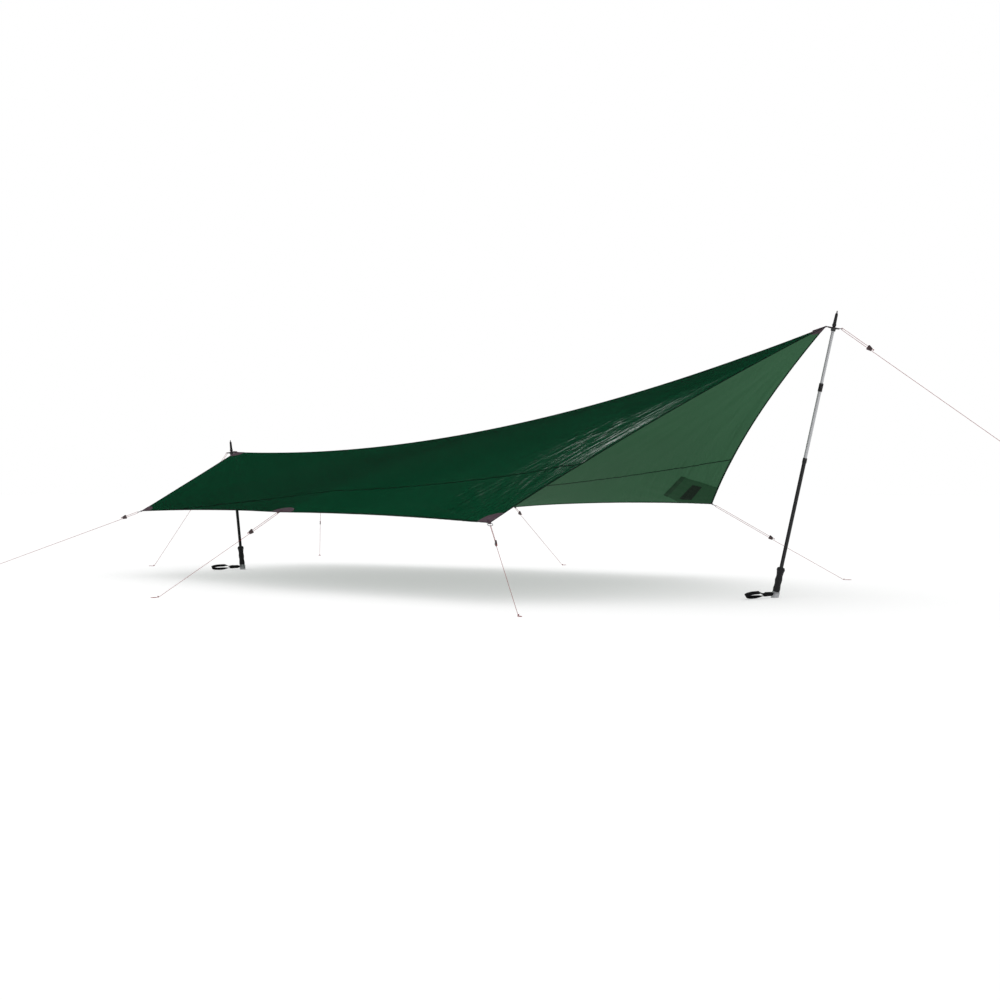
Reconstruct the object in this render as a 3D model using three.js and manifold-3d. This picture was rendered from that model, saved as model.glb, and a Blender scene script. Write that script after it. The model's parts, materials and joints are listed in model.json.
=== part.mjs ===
// A tapered tarp shelter, pitched on two trekking poles that stand on their grips.
// Millimetres, +Z up, +X along the ridge from the low rear pole to the tall front pole,
// and -Y on the near side. Lengths below are measured from the front pole's foot.
import * as THREE from "three";
import { mergeVertices } from "three/addons/utils/BufferGeometryUtils.js";
import Module from "manifold-3d";

const wasm = await Module();
wasm.setup();

// ---- Driving dimensions -------------------------------------------------------------------
const GAP = 0.3; // left between pieces that touch

// Canopy cloth
const CLOTH = 1.2; // height of the cloth solid
const RIDGE_SAG = 172; // dip of the ridge below the line between its ends
const FRONT_BOW = 60; // hollow of the front edges
const REAR_BOW = 15; // hollow of the rear edges
const SIDE_BOW = 30; // hollow of each side edge between its tie-outs
const SIDE_LIFT = 9; // rise of a side edge at its hollow
const SEAM_FRONT = 740; // plan distance of the panel seam from the ridge, at the front
const SEAM_REAR = 803; // the same at the rear
const APEX_BACK = 68; // from a pole's basket back to the end of the ridge
const APEX_DROP = 16; // and down, square to the pole's own disc
const ALONG = 24; // facets of the cloth along the ridge
const ACROSS = 12; // facets of the cloth down one side

// Plan place and height of the six side tie-outs, and the place of each peg on the ground
const TIES = {
  near_front: { at: [-913, -1072, 364], peg: [-444, -1489], slider: 140 },
  near_mid: { at: [-2300, -1025, 396], peg: [-2391, -1774], slider: 190 },
  near_rear: { at: [-3725, -757, 382], peg: [-4680, -1300], slider: 86 },
  far_front: { at: [-913, 1072, 426], peg: [-191, 1367], slider: 360 },
  far_mid: { at: [-2290, 1033, 396], peg: [-2288, 1617], slider: 58 },
  far_rear: { at: [-3725, 757, 390], peg: [-4500, 1550], slider: 330 },
};

// Poles: foot along the ridge, lean towards +X, and how far each section stands out
const POLES = {
  front: { foot: -23, lean: 13, middleOut: 355, lowerOut: 247, peg: [2040, 0], slider: 164 },
  rear: { foot: -3678, lean: -7.7, middleOut: 54, lowerOut: 7, peg: [-4455, -110], slider: 300 },
};
const UPPER_END = 675; // from a pole's foot to the end of its upper tube
const TUBE_RADIUS = 9; // of the upper tube, outside
const TUBE_WALL = 0.7;
const CAP_LENGTH = 30;
const CAP_RADIUS = 18.5;
const CAP_DOME = 7; // height of the cap's rounded end
const GRIP_LENGTH = 118;
const GRIP_WALL = 6.7;
const GRIP_FLARE = 3.5; // how far the grip's collar stands out
const UPPER_LOCK = { length: 22, wall: 1.3 };
const LOWER_LOCK = { length: 36, wall: 2.1 };
const LOCK_LIP = 3; // height of the lip beyond the tube's end
const EXPANDER = { body: 24, spigot: 12 };
const NEST = 35; // how much shorter each tube is than the room in the one round it
const HUB = { length: 16, wall: 4.7 };
const BASKET = { rim: 16, thick: 3, dish: 3, holes: 6, holeRadius: 4.5 };
const FERRULE = { length: 42, taper: 2.1 };
const TIP = { length: 40, bore: 14, wall: 1.1, blunt: 1.4 };
const STRAP = { long: 95, high: 18, thick: 1.6, wide: 20, yaw: 75, lift: 0.5, clear: 3 };

// Each inner tube slides in the one outside it
const TUBES = { upper: TUBE_RADIUS };
TUBES.middle = TUBES.upper - TUBE_WALL - GAP;
TUBES.lower = TUBES.middle - TUBE_WALL - GAP;
const UPPER_START = CAP_LENGTH + 5;
const MIDDLE_TUBE = UPPER_END - UPPER_START - NEST;
const LOWER_TUBE = MIDDLE_TUBE - NEST;
const HUB_RADIUS = TUBES.lower + GAP + HUB.wall;
const BASKET_RADIUS = HUB_RADIUS + BASKET.rim;
const FERRULE_ROOT = TUBES.lower + 0.5;
const FERRULE_TOP = FERRULE_ROOT - FERRULE.taper;
const TIP_RADIUS = FERRULE_TOP - TIP.wall - GAP;

// Tie-out webbing and rings
const CORD = 1; // radius of the guylines
const WEB = { thick: 2.4, inside: 22, wide: 14 };
const RING = { radius: 12, wire: 2 };
const LOOP = { wide: 12, start: 2, neck: 4, play: 0.09 };
const EYE = { start: 2, play: 2.5, web: 4 };
const STRAP_TAB = { margin: 1.5, beyond: 11, bendBeyond: 6, polePlay: 2, overlap: 30 };

// The fold of webbing round a ring's wire, which slants across it, and the eye for a cord
const LOOP_SLANT = Math.sqrt(1 - (LOOP.wide / 2 / RING.radius) ** 2);
const LOOP_INNER = RING.wire / LOOP_SLANT + LOOP.play;
const LOOP_OUTER = LOOP_INNER + WEB.thick / 2;
const RING_CENTRE = LOOP.start + RING.radius;
const LOOP_SAG = RING.radius - Math.sqrt(RING.radius ** 2 - (LOOP.wide / 2) ** 2);
const EYE_HALF = CORD + EYE.play;
const EYE_END = EYE.start + 2 * EYE_HALF;
const POLE_HOLE = FERRULE_ROOT + STRAP_TAB.polePlay;
const STRAP_WIDE = 2 * (POLE_HOLE + STRAP_TAB.margin);
const STRAP_OUT = BASKET_RADIUS + STRAP_TAB.beyond;
const STRAP_LEVEL = GAP + WEB.thick / 2;

// Guylines and sliders
const STRANDS = RING.wire + CORD + 1; // each doubled strand's distance from the middle line
const PAST_SLIDER = 7; // cord left beyond the slider, for its knot
const SLIDER = { long: 24, high: 24, thick: 6, round: 3, play: 0.8 };
const END_LOOP = [
  // the loop for a peg, on the ground: distance along the line, and to its side
  [8, 0.5],
  [16, 4],
  [28, 8],
  [38, 6],
  [42, 0],
  [38, -6],
  [28, -8],
  [16, -6],
  [7, -4.2],
];
const LOOP_LENGTH = 42;

// Stow pocket under the far front corner: its plan outline, measured from that tie-out
const POCKET_DEEP = 5;
const POCKET_OUTLINE = [
  [-72, -240],
  [120, -100],
  [28, -52],
  [-48, -20],
  [-165, 20],
  [-260, -101],
];

// ---- Helpers ------------------------------------------------------------------------------
const V = (x, y, z) => new THREE.Vector3(x, y, z);
const radians = THREE.MathUtils.degToRad;

// Merged vertices only, which is what manifold-3d reads.
function bare(geometry) {
  const g = geometry.clone();
  for (const name of Object.keys(g.attributes)) {
    if (name !== "position") g.deleteAttribute(name);
  }
  return mergeVertices(g, 1e-4);
}

function solid(geometry) {
  const g = bare(geometry);
  return new wasm.Manifold(
    new wasm.Mesh({
      numProp: 3,
      vertProperties: new Float32Array(g.attributes.position.array),
      triVerts: new Uint32Array(g.index.array),
    }),
  );
}

function geometryOf(body) {
  const mesh = body.getMesh();
  const g = new THREE.BufferGeometry();
  g.setAttribute("position", new THREE.BufferAttribute(mesh.vertProperties, 3));
  g.setIndex(new THREE.BufferAttribute(mesh.triVerts, 1));
  return g;
}

function cut(geometry, ...tools) {
  return geometryOf(tools.reduce((body, tool) => body.subtract(solid(tool)), solid(geometry)));
}

// A piece turned about the Z axis: profile is a list of [radius, height].
function turned(profile, sides = 20) {
  const points = profile.map(([r, z]) => new THREE.Vector2(r, z));
  return new THREE.LatheGeometry(points, sides).rotateX(Math.PI / 2);
}

// A hollow cylinder from z0 to z1.
function tube(outer, inner, z0, z1, sides = 16) {
  return turned([[inner, z0], [outer, z0], [outer, z1], [inner, z1], [inner, z0]], sides);
}

function rod(radius, z0, z1, sides = 16) {
  return turned([[0, z0], [radius, z0], [radius, z1], [0, z1]], sides);
}

// A flat outline in XY, made thick about z = 0.
function plate(shape, thick, curveSegments = 8) {
  const g = new THREE.ExtrudeGeometry(shape, { depth: thick, bevelEnabled: false, curveSegments });
  return g.translate(0, 0, -thick / 2);
}

function slot(x0, x1, half) {
  const path = new THREE.Path();
  path.absarc(x0, 0, half, Math.PI / 2, (3 * Math.PI) / 2, false);
  path.absarc(x1, 0, half, -Math.PI / 2, Math.PI / 2, false);
  path.closePath();
  return path;
}

const finish = {
  cloth: { color: 0x12452c, roughness: 0.35, metalness: 0 },
  webbing: { color: 0x4b3c44, roughness: 0.8, metalness: 0 },
  cord: { color: 0x96605f, roughness: 0.8, metalness: 0 },
  plastic: { color: 0x44343a, roughness: 0.5, metalness: 0 },
  ring: { color: 0xb8b8b8, roughness: 0.3, metalness: 0.9 },
  alloy: { color: 0xa9abb0, roughness: 0.35, metalness: 0.9 },
  black: { color: 0x141414, roughness: 0.45, metalness: 0 },
  rubber: { color: 0x1c1c1c, roughness: 0.85, metalness: 0 },
  carbide: { color: 0x5c5e62, roughness: 0.4, metalness: 1 },
};

function piece(name, geometry, material) {
  const mesh = new THREE.Mesh(geometry, new THREE.MeshStandardMaterial(finish[material]));
  mesh.name = name;
  return mesh;
}

// ---- Poles: each is drawn standing on z = 0, then leaned about its foot ---------------------
function poleStations(pole) {
  const middleEnd = UPPER_END + pole.middleOut;
  const lowerEnd = middleEnd + pole.lowerOut;
  return { middleEnd, lowerEnd, seat: lowerEnd + HUB.length };
}

function poleGroup(pole) {
  const group = new THREE.Group();
  group.position.set(pole.foot, 0, 0);
  group.rotation.y = radians(pole.lean);
  group.updateMatrixWorld(true);
  return group;
}

const onPole = (pole, x, z) => V(x, 0, z).applyMatrix4(poleGroup(pole).matrixWorld);

// The cap is trimmed level with the ground, so that the leaning pole stands flat.
function gripCap(pole) {
  const below = CAP_RADIUS * Math.abs(Math.tan(radians(pole.lean)));
  const cap = turned([
    [0, -below - CAP_DOME],
    [CAP_RADIUS * 0.6, -below - CAP_DOME * 0.7],
    [CAP_RADIUS, -below],
    [CAP_RADIUS, CAP_LENGTH - 4],
    [CAP_RADIUS - 2, CAP_LENGTH],
    [0, CAP_LENGTH],
  ], 24);
  const ground = new THREE.BoxGeometry(200, 200, 100).translate(0, 0, -50);
  ground.rotateY(-radians(pole.lean));
  return cut(cap, ground);
}

function grip() {
  const start = CAP_LENGTH + GAP;
  const end = start + GRIP_LENGTH;
  const bore = TUBES.upper + GAP;
  const radius = bore + GRIP_WALL;
  const at = (share) => start + share * GRIP_LENGTH;
  return turned([
    [bore, start],
    [radius, start],
    [radius + 1.2, at(0.15)],
    [radius - 1, at(0.34)],
    [radius + 0.8, at(0.53)],
    [radius - 0.6, at(0.71)],
    [radius, at(0.83)],
    [radius + GRIP_FLARE, at(0.93)],
    [radius + GRIP_FLARE - 2, end - 2],
    [bore + 2, end],
    [bore, end],
    [bore, start],
  ], 24);
}

// A lock sleeve stands on the end of its tube, with a lip inside that clears the next tube.
function lock(size, tubeRadius, nextRadius, end) {
  const bore = tubeRadius + GAP;
  const throat = nextRadius + GAP;
  const radius = bore + size.wall;
  const ribs = [];
  const z0 = end - size.length;
  for (let z = z0 + 3; z < end - 3; z += 6) {
    ribs.push([radius, z], [radius - 0.4, z + 2.5]);
  }
  return turned([
    [bore, z0],
    [radius - 0.5, z0],
    ...ribs,
    [radius - 0.5, end + LOCK_LIP],
    [throat, end + LOCK_LIP],
    [throat, end + GAP],
    [bore, end + GAP],
    [bore, z0],
  ], 20);
}

// The plastic plug in the inner end of a tube, which swells to lock inside the next tube.
function expander(tubeRadius, start) {
  const spigot = tubeRadius - TUBE_WALL - GAP;
  const top = start - GAP;
  const waist = tubeRadius - 1.4;
  return turned([
    [0, top - EXPANDER.body],
    [waist, top - EXPANDER.body],
    [tubeRadius, top - EXPANDER.body + 4],
    [tubeRadius, top - EXPANDER.body + 10],
    [waist, top - EXPANDER.body + 12],
    [waist, top - 6],
    [tubeRadius, top - 4],
    [tubeRadius, top],
    [spigot, top],
    [spigot, top + EXPANDER.spigot],
    [0, top + EXPANDER.spigot],
  ], 16);
}

// Hub and slotted disc in one moulding, bored for the lower tube and the ferrule.
function basket(seat) {
  const under = seat - HUB.length;
  const bore = TUBES.lower + GAP;
  const disc = seat - BASKET.thick;
  const body = turned([
    [bore, under],
    [HUB_RADIUS - 2, under],
    [HUB_RADIUS, disc - 2],
    [BASKET_RADIUS - 1, disc - BASKET.dish * 0.2],
    [BASKET_RADIUS, disc + 1],
    [BASKET_RADIUS, seat - 0.5],
    [HUB_RADIUS, seat],
    [bore, seat],
    [bore, under],
  ], 24);
  const holes = [];
  for (let i = 0; i < BASKET.holes; i++) {
    const angle = (2 * Math.PI * (i + 0.5)) / BASKET.holes;
    const ring = HUB_RADIUS + BASKET.rim / 2;
    const hole = rod(BASKET.holeRadius, under, seat + 2, 8);
    holes.push(hole.translate(ring * Math.cos(angle), ring * Math.sin(angle), 0));
  }
  return cut(body, ...holes);
}

function ferrule(seat) {
  const end = seat + FERRULE.length;
  const pinBore = TIP_RADIUS + GAP;
  return turned([
    [0, seat + GAP],
    [FERRULE_ROOT, seat + GAP],
    [FERRULE_ROOT, seat + 8],
    [FERRULE_TOP, end],
    [pinBore, end],
    [pinBore, end - TIP.bore],
    [0, end - TIP.bore],
  ], 16);
}

function carbideTip(seat) {
  const end = seat + FERRULE.length;
  return turned([
    [0, end - TIP.bore + GAP],
    [TIP_RADIUS, end - TIP.bore + GAP],
    [TIP_RADIUS, end + TIP.length - 12],
    [TIP_RADIUS - TIP.blunt, end + TIP.length - 4],
    [TIP_RADIUS - 2 * TIP.blunt, end + TIP.length - 2.5],
    [0, end + TIP.length - 2.5],
  ], 12);
}

// The wrist strap is an upright loop of webbing that lies beside the grip.
function wristStrap(pole) {
  const loop = new THREE.Shape();
  loop.absellipse(0, 0, STRAP.long, STRAP.high, 0, 2 * Math.PI);
  const hole = new THREE.Path();
  hole.absellipse(0, 0, STRAP.long - STRAP.thick, STRAP.high - STRAP.thick, 0, 2 * Math.PI);
  loop.holes.push(hole);
  const ribbon = plate(loop, STRAP.wide, 20).rotateX(Math.PI / 2);
  const height = STRAP.high + STRAP.lift;
  const axisThere = pole.foot + height * Math.tan(radians(pole.lean));
  const out = STRAP.long + CAP_RADIUS + STRAP.clear;
  ribbon.translate(-out, 0, height).rotateZ(radians(STRAP.yaw));
  return ribbon.translate(axisThere, 0, 0);
}

function poleParts(side, pole) {
  const { middleEnd, lowerEnd, seat } = poleStations(pole);
  const r = TUBES;
  const middleStart = middleEnd - MIDDLE_TUBE;
  const lowerStart = lowerEnd - LOWER_TUBE;
  const group = poleGroup(pole);
  group.add(
    piece(`${side}_grip_cap`, gripCap(pole), "alloy"),
    piece(`${side}_grip`, grip(), "rubber"),
    piece(`${side}_upper_tube`, tube(r.upper, r.upper - TUBE_WALL, UPPER_START, UPPER_END), "black"),
    piece(`${side}_upper_lock`, lock(UPPER_LOCK, r.upper, r.middle, UPPER_END), "black"),
    piece(`${side}_middle_expander`, expander(r.middle, middleStart), "black"),
    piece(`${side}_middle_tube`, tube(r.middle, r.middle - TUBE_WALL, middleStart, middleEnd), "alloy"),
    piece(`${side}_lower_lock`, lock(LOWER_LOCK, r.middle, r.lower, middleEnd), "black"),
    piece(`${side}_lower_expander`, expander(r.lower, lowerStart), "black"),
    piece(`${side}_lower_tube`, tube(r.lower, r.lower - TUBE_WALL, lowerStart, seat), "alloy"),
    piece(`${side}_basket`, basket(seat), "black"),
    piece(`${side}_ferrule`, ferrule(seat), "black"),
    piece(`${side}_carbide_tip`, carbideTip(seat), "carbide"),
  );
  return [group, piece(`${side}_wrist_strap`, wristStrap(pole), "webbing")];
}

// ---- Canopy surface ------------------------------------------------------------------------
const outward = (pole) => Math.sign(pole.lean); // +1 where the pole leans to +X
const seatOf = (pole) => poleStations(pole).seat;
const apex = (pole) => onPole(pole, -outward(pole) * APEX_BACK, seatOf(pole) - APEX_DROP);
const APEX = { front: apex(POLES.front), rear: apex(POLES.rear) };

// A line from a to b, pushed aside by the vector bow at its middle.
function bowed(a, b, t, bow) {
  return a.clone().lerp(b, t).addScaledVector(bow, 4 * t * (1 - t));
}

function ridgePoint(side, u) {
  const p = bowed(APEX.rear, APEX.front, u, V(0, 0, -RIDGE_SAG));
  p.y = (side * GAP) / 2;
  return p;
}

const tieOf = (side, place) => V(...TIES[(side < 0 ? "near_" : "far_") + place].at);

function sidePoint(side, u) {
  const bow = V(0, -side * SIDE_BOW, SIDE_LIFT);
  if (u < 0.5) return bowed(tieOf(side, "rear"), tieOf(side, "mid"), 2 * u, bow);
  return bowed(tieOf(side, "mid"), tieOf(side, "front"), 2 * u - 1, bow);
}

const frontPoint = (side, v) => bowed(ridgePoint(side, 1), tieOf(side, "front"), v, V(-FRONT_BOW, 0, 0));
const rearPoint = (side, v) => bowed(ridgePoint(side, 0), tieOf(side, "rear"), v, V(REAR_BOW, 0, 0));

// A point of the top of the cloth: u runs from rear to front, v from the ridge to the side edge.
function clothPoint(side, u, v) {
  const lengthwise = ridgePoint(side, u).lerp(sidePoint(side, u), v);
  const crosswise = rearPoint(side, v).lerp(frontPoint(side, v), u);
  const rear = ridgePoint(side, 0).lerp(tieOf(side, "rear"), v);
  const front = ridgePoint(side, 1).lerp(tieOf(side, "front"), v);
  return lengthwise.add(crosswise).sub(rear.lerp(front, u));
}

// A closed sheet over a grid of the cloth, between two depths below its top.
function sheet(side, us, vs, top, bottom) {
  const rows = us.map((u) => vs.map((v) => clothPoint(side, u, v)));
  const n = vs.length;
  const count = us.length * n;
  const positions = [];
  for (const depth of [top, bottom]) {
    for (const p of rows.flat()) positions.push(p.x, p.y, p.z - depth);
  }
  const index = [];
  const quad = (a, b, c, d) => index.push(a, b, c, a, c, d);
  for (let i = 0; i + 1 < us.length; i++) {
    for (let j = 0; j + 1 < n; j++) {
      const a = i * n + j;
      quad(a, a + n, a + n + 1, a + 1);
      quad(count + a, count + a + 1, count + a + n + 1, count + a + n);
    }
  }
  const rim = [];
  for (let i = 0; i + 1 < us.length; i++) rim.push(i * n);
  for (let j = 0; j + 1 < n; j++) rim.push((us.length - 1) * n + j);
  for (let i = us.length - 1; i > 0; i--) rim.push(i * n + n - 1);
  for (let j = n - 1; j > 0; j--) rim.push(j);
  rim.forEach((a, k) => {
    const b = rim[(k + 1) % rim.length];
    quad(a, count + a, count + b, b);
  });
  if (side < 0) index.reverse();
  const g = new THREE.BufferGeometry();
  g.setAttribute("position", new THREE.Float32BufferAttribute(positions, 3));
  g.setIndex(index);
  return g;
}

const steps = (a, b, n) => Array.from({ length: n + 1 }, (_, i) => a + ((b - a) * i) / n);

// An upright blade along the panel seam, as wide as the gap it leaves.
function seamBlade(side) {
  const front = V(APEX.front.x, side * SEAM_FRONT, 0);
  const rear = V(APEX.rear.x, side * SEAM_REAR, 0);
  const run = front.clone().sub(rear);
  const blade = new THREE.BoxGeometry(run.length() + 400, GAP, 4000);
  blade.rotateZ(Math.atan2(run.y, run.x));
  const middle = front.lerp(rear, 0.5);
  return blade.translate(middle.x, middle.y, 0);
}

// ---- Tie-outs -------------------------------------------------------------------------------
// A frame with X along the guyline, Y level and Z square to both.
function lineFrame(origin, end) {
  const x = end.clone().sub(origin).normalize();
  const y = V(0, 0, 1).cross(x).normalize();
  const z = x.clone().cross(y);
  return new THREE.Matrix4().makeBasis(x, y, z).setPosition(origin);
}

const pegOf = (tie) => V(tie.peg[0], tie.peg[1], CORD);
const tieFrame = (tie) => lineFrame(V(...tie.at), pegOf(tie));

// Webbing folded round a ring: a profile along the line, as wide as the webbing.
function ringTab() {
  const t = WEB.thick / 2;
  const far = LOOP.start + LOOP_SAG;
  const shape = new THREE.Shape();
  shape.moveTo(-WEB.inside, -t);
  shape.lineTo(-LOOP.neck, -t);
  shape.lineTo(0, -LOOP_OUTER);
  shape.lineTo(far, -LOOP_OUTER);
  shape.absarc(far, 0, LOOP_OUTER, -Math.PI / 2, Math.PI / 2, false);
  shape.lineTo(0, LOOP_OUTER);
  shape.lineTo(-LOOP.neck, t);
  shape.lineTo(-WEB.inside, t);
  shape.holes.push(slot(LOOP.start, far, LOOP_INNER));
  return plate(shape, LOOP.wide).rotateX(Math.PI / 2);
}

// A flat webbing tab with an eye near its outer end.
function eyeTab() {
  const half = WEB.wide / 2;
  const end = EYE_END + EYE.web;
  const shape = new THREE.Shape();
  shape.moveTo(-WEB.inside, -half);
  shape.lineTo(end - 4, -half);
  shape.lineTo(end, -half + 4);
  shape.lineTo(end, half - 4);
  shape.lineTo(end - 4, half);
  shape.lineTo(-WEB.inside, half);
  const hole = new THREE.Path();
  hole.absarc(EYE.start + EYE_HALF, 0, EYE_HALF, 0, 2 * Math.PI, false);
  shape.holes.push(hole);
  return plate(shape, WEB.thick, 5);
}

// The room that a tab needs in the cloth that it is sewn to.
function tabRoom(wide) {
  const long = WEB.inside + GAP + 60;
  return new THREE.BoxGeometry(long, wide + 2 * GAP, 16).translate(60 - long / 2, 0, 0);
}

const isMid = (name) => name.endsWith("_mid");

function tiePieces(name, tie) {
  const frame = tieFrame(tie);
  const tab = (isMid(name) ? eyeTab() : ringTab()).applyMatrix4(frame);
  const pieces = [piece(`${name}_tab`, tab, "webbing")];
  if (!isMid(name)) {
    const ring = new THREE.TorusGeometry(RING.radius, RING.wire, 8, 24).translate(RING_CENTRE, 0, 0);
    pieces.push(piece(`${name}_ring`, ring.applyMatrix4(frame), "ring"));
  }
  return pieces;
}

// The strap at each end of the ridge lies on the basket, with the pole's tip through it.
// It is drawn in the pole's frame, with X pointing out of the shelter.
function ridgeStrapProfile() {
  const t = WEB.thick / 2;
  const level = STRAP_LEVEL;
  const inner = V(-APEX_BACK, -APEX_DROP, 0);
  const bend = V(-BASKET_RADIUS - STRAP_TAB.bendBeyond, level, 0);
  const slope = inner.clone().sub(bend).normalize();
  inner.addScaledVector(slope, STRAP_TAB.overlap);
  const side = V(-slope.y, slope.x, 0).multiplyScalar(t);
  const end = STRAP_OUT + EYE.web;
  const shape = new THREE.Shape();
  shape.moveTo(inner.x + side.x, inner.y + side.y);
  shape.lineTo(bend.x + side.x, bend.y + side.y);
  shape.lineTo(bend.x, level - t);
  shape.lineTo(end, level - t);
  shape.lineTo(end, level + t);
  shape.lineTo(bend.x, level + t);
  shape.lineTo(bend.x - side.x, bend.y - side.y);
  shape.lineTo(inner.x - side.x, inner.y - side.y);
  return shape;
}

function ridgeFrame(pole) {
  const turn = new THREE.Matrix4().makeRotationZ(outward(pole) > 0 ? 0 : Math.PI);
  const lift = new THREE.Matrix4().makeTranslation(0, 0, seatOf(pole));
  return poleGroup(pole).matrixWorld.clone().multiply(lift).multiply(turn);
}

function ridgeTab(pole) {
  const frame = ridgeFrame(pole);
  const poleHole = rod(POLE_HOLE, -20, 20, 16).applyMatrix4(frame);
  const eye = rod(EYE_HALF, -20, 20, 16).translate(STRAP_OUT - EYE_HALF, 0, 0).applyMatrix4(frame);
  const strap = plate(ridgeStrapProfile(), STRAP_WIDE).rotateX(Math.PI / 2);
  return cut(strap.applyMatrix4(frame), poleHole, eye);
}

// The room for the inner end of a ridge strap, cut out of both sides of the cloth.
function ridgeRoom(pole) {
  const wide = STRAP_WIDE + 2 * GAP;
  const long = STRAP_TAB.overlap + GAP + 60;
  const box = new THREE.BoxGeometry(long, wide, 60).translate(-APEX_BACK - STRAP_TAB.overlap + 30, 0, 0);
  return box.translate(0, 0, -APEX_DROP).applyMatrix4(ridgeFrame(pole));
}

// ---- Guylines and sliders ---------------------------------------------------------------------
// A path that stops at each of its own points, so a straight run costs one step.
class Route extends THREE.Curve {
  constructor(points) {
    super();
    this.points = points;
  }
  getPointAt(u) {
    return this.points[Math.round(u * (this.points.length - 1))].clone();
  }
  getTangentAt(u) {
    const i = Math.round(u * (this.points.length - 1));
    const before = this.points[Math.max(i - 1, 0)];
    const here = this.points[i];
    const after = this.points[Math.min(i + 1, this.points.length - 1)];
    const a = here.clone().sub(before).normalize();
    const b = after.clone().sub(here).normalize();
    return a.add(b).normalize();
  }
}

function cordTube(points) {
  const section = new THREE.Shape();
  section.absarc(0, 0, CORD, 0, 2 * Math.PI, false);
  const corners = section.getPoints(4).slice(0, 8);
  return new THREE.ExtrudeGeometry(new THREE.Shape(corners), {
    steps: points.length - 1,
    extrudePath: new Route(points),
    bevelEnabled: false,
  });
}

// From the slider's knot up to the tie, round it, back through the slider and down to the peg.
function cordRoute(turn, peg, sliderAt) {
  const level = V(peg.x - turn.x, peg.y - turn.y, 0).normalize();
  const side = V(-level.y, level.x, 0);
  const foot = peg.clone().addScaledVector(level, -LOOP_LENGTH);
  const frame = lineFrame(turn, foot);
  const at = (x, z) => V(x, 0, z).applyMatrix4(frame);
  const end = sliderAt + SLIDER.long / 2 + PAST_SLIDER;
  const points = [at(end, STRANDS), at(sliderAt, STRANDS), at(STRANDS, STRANDS)];
  for (let i = 0; i <= 6; i++) {
    const angle = Math.PI / 2 + (Math.PI * i) / 6;
    points.push(at(STRANDS * Math.cos(angle), STRANDS * Math.sin(angle)));
  }
  points.push(at(STRANDS, -STRANDS), at(sliderAt, -STRANDS), at(end, -STRANDS));
  points.push(at(end, -STRANDS).lerp(foot, 0.5));
  const onGround = (x, y) => foot.clone().addScaledVector(level, x).addScaledVector(side, y);
  points.push(foot.clone().lerp(at(end, -STRANDS), 0.006), onGround(2.5, 0));
  END_LOOP.forEach(([x, y]) => points.push(onGround(x, y)));
  return { points, frame };
}

// A triangular slider with a bore for each strand, its point towards the peg.
function slider() {
  const half = SLIDER.high / 2;
  const x0 = -SLIDER.long / 2;
  const x1 = SLIDER.long / 2;
  const shape = new THREE.Shape();
  shape.moveTo(x0, -half + SLIDER.round);
  shape.lineTo(x0 + SLIDER.round, -half);
  shape.lineTo(x1, -STRANDS - SLIDER.round);
  shape.lineTo(x1, STRANDS + SLIDER.round);
  shape.lineTo(x0 + SLIDER.round, half);
  shape.lineTo(x0, half - SLIDER.round);
  const body = plate(shape, SLIDER.thick).rotateX(Math.PI / 2);
  const bores = [-STRANDS, STRANDS].map((z) => {
    return rod(CORD + SLIDER.play, -SLIDER.long, SLIDER.long, 8).rotateY(Math.PI / 2).translate(0, 0, z);
  });
  return cut(body, ...bores);
}

function linePieces(name, turn, peg, sliderAt) {
  const { points, frame } = cordRoute(turn, peg, sliderAt);
  const adjuster = slider().translate(sliderAt, 0, 0).applyMatrix4(frame);
  return [
    piece(`${name}_guyline`, cordTube(points), "cord"),
    piece(`${name}_slider`, adjuster, "plastic"),
  ];
}

// Where the cord turns round the ring's wire, or round the web beyond an eye.
function turnPoint(name, tie) {
  const along = isMid(name) ? EYE_END + EYE.web / 2 : RING_CENTRE + RING.radius;
  return V(along, 0, 0).applyMatrix4(tieFrame(tie));
}

function ridgeTurnPoint(pole) {
  return V(STRAP_OUT + EYE.web / 2, 0, STRAP_LEVEL).applyMatrix4(ridgeFrame(pole));
}

// ---- Canopy panels -----------------------------------------------------------------------------
function panels(side, label) {
  const rooms = Object.entries(TIES)
    .filter(([name]) => name.startsWith(label))
    .map(([name, tie]) => tabRoom(isMid(name) ? WEB.wide : LOOP.wide).applyMatrix4(tieFrame(tie)));
  const half = sheet(side, steps(0, 1, ALONG), steps(0, 1, ACROSS), 0, CLOTH);
  const tools = [ridgeRoom(POLES.front), ridgeRoom(POLES.rear), ...rooms, seamBlade(side)];
  const parts = solid(cut(half, ...tools)).decompose();
  const bySize = parts.sort((a, b) => b.volume() - a.volume());
  return [
    piece(`${label}_main_panel`, geometryOf(bySize[0]), "cloth"),
    piece(`${label}_side_panel`, geometryOf(bySize[1]), "cloth"),
  ];
}

function stowPocket() {
  const lining = sheet(1, steps(0, 1, ALONG), steps(0, 1, ACROSS), CLOTH + GAP, CLOTH + GAP + POCKET_DEEP);
  const corner = V(...TIES.far_front.at);
  const outline = POCKET_OUTLINE.map(([x, y]) => new THREE.Vector2(corner.x + x, corner.y + y));
  const prism = plate(new THREE.Shape(outline), 4000);
  return geometryOf(solid(lining).intersect(solid(prism)));
}

// ---- Assembly ----------------------------------------------------------------------------------
const shelter = new THREE.Group();
shelter.add(...panels(-1, "near"), ...panels(1, "far"));
shelter.add(piece("stow_pocket", stowPocket(), "webbing"));
for (const [side, pole] of Object.entries(POLES)) {
  shelter.add(...poleParts(side, pole));
  shelter.add(piece(`${side}_ridge_tab`, ridgeTab(pole), "webbing"));
}
for (const [name, tie] of Object.entries(TIES)) shelter.add(...tiePieces(name, tie));

// The origin is the middle of the shelter's footprint, on the ground, guylines left out.
shelter.updateMatrixWorld(true);
const bounds = new THREE.Box3().setFromObject(shelter, true);

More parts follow.
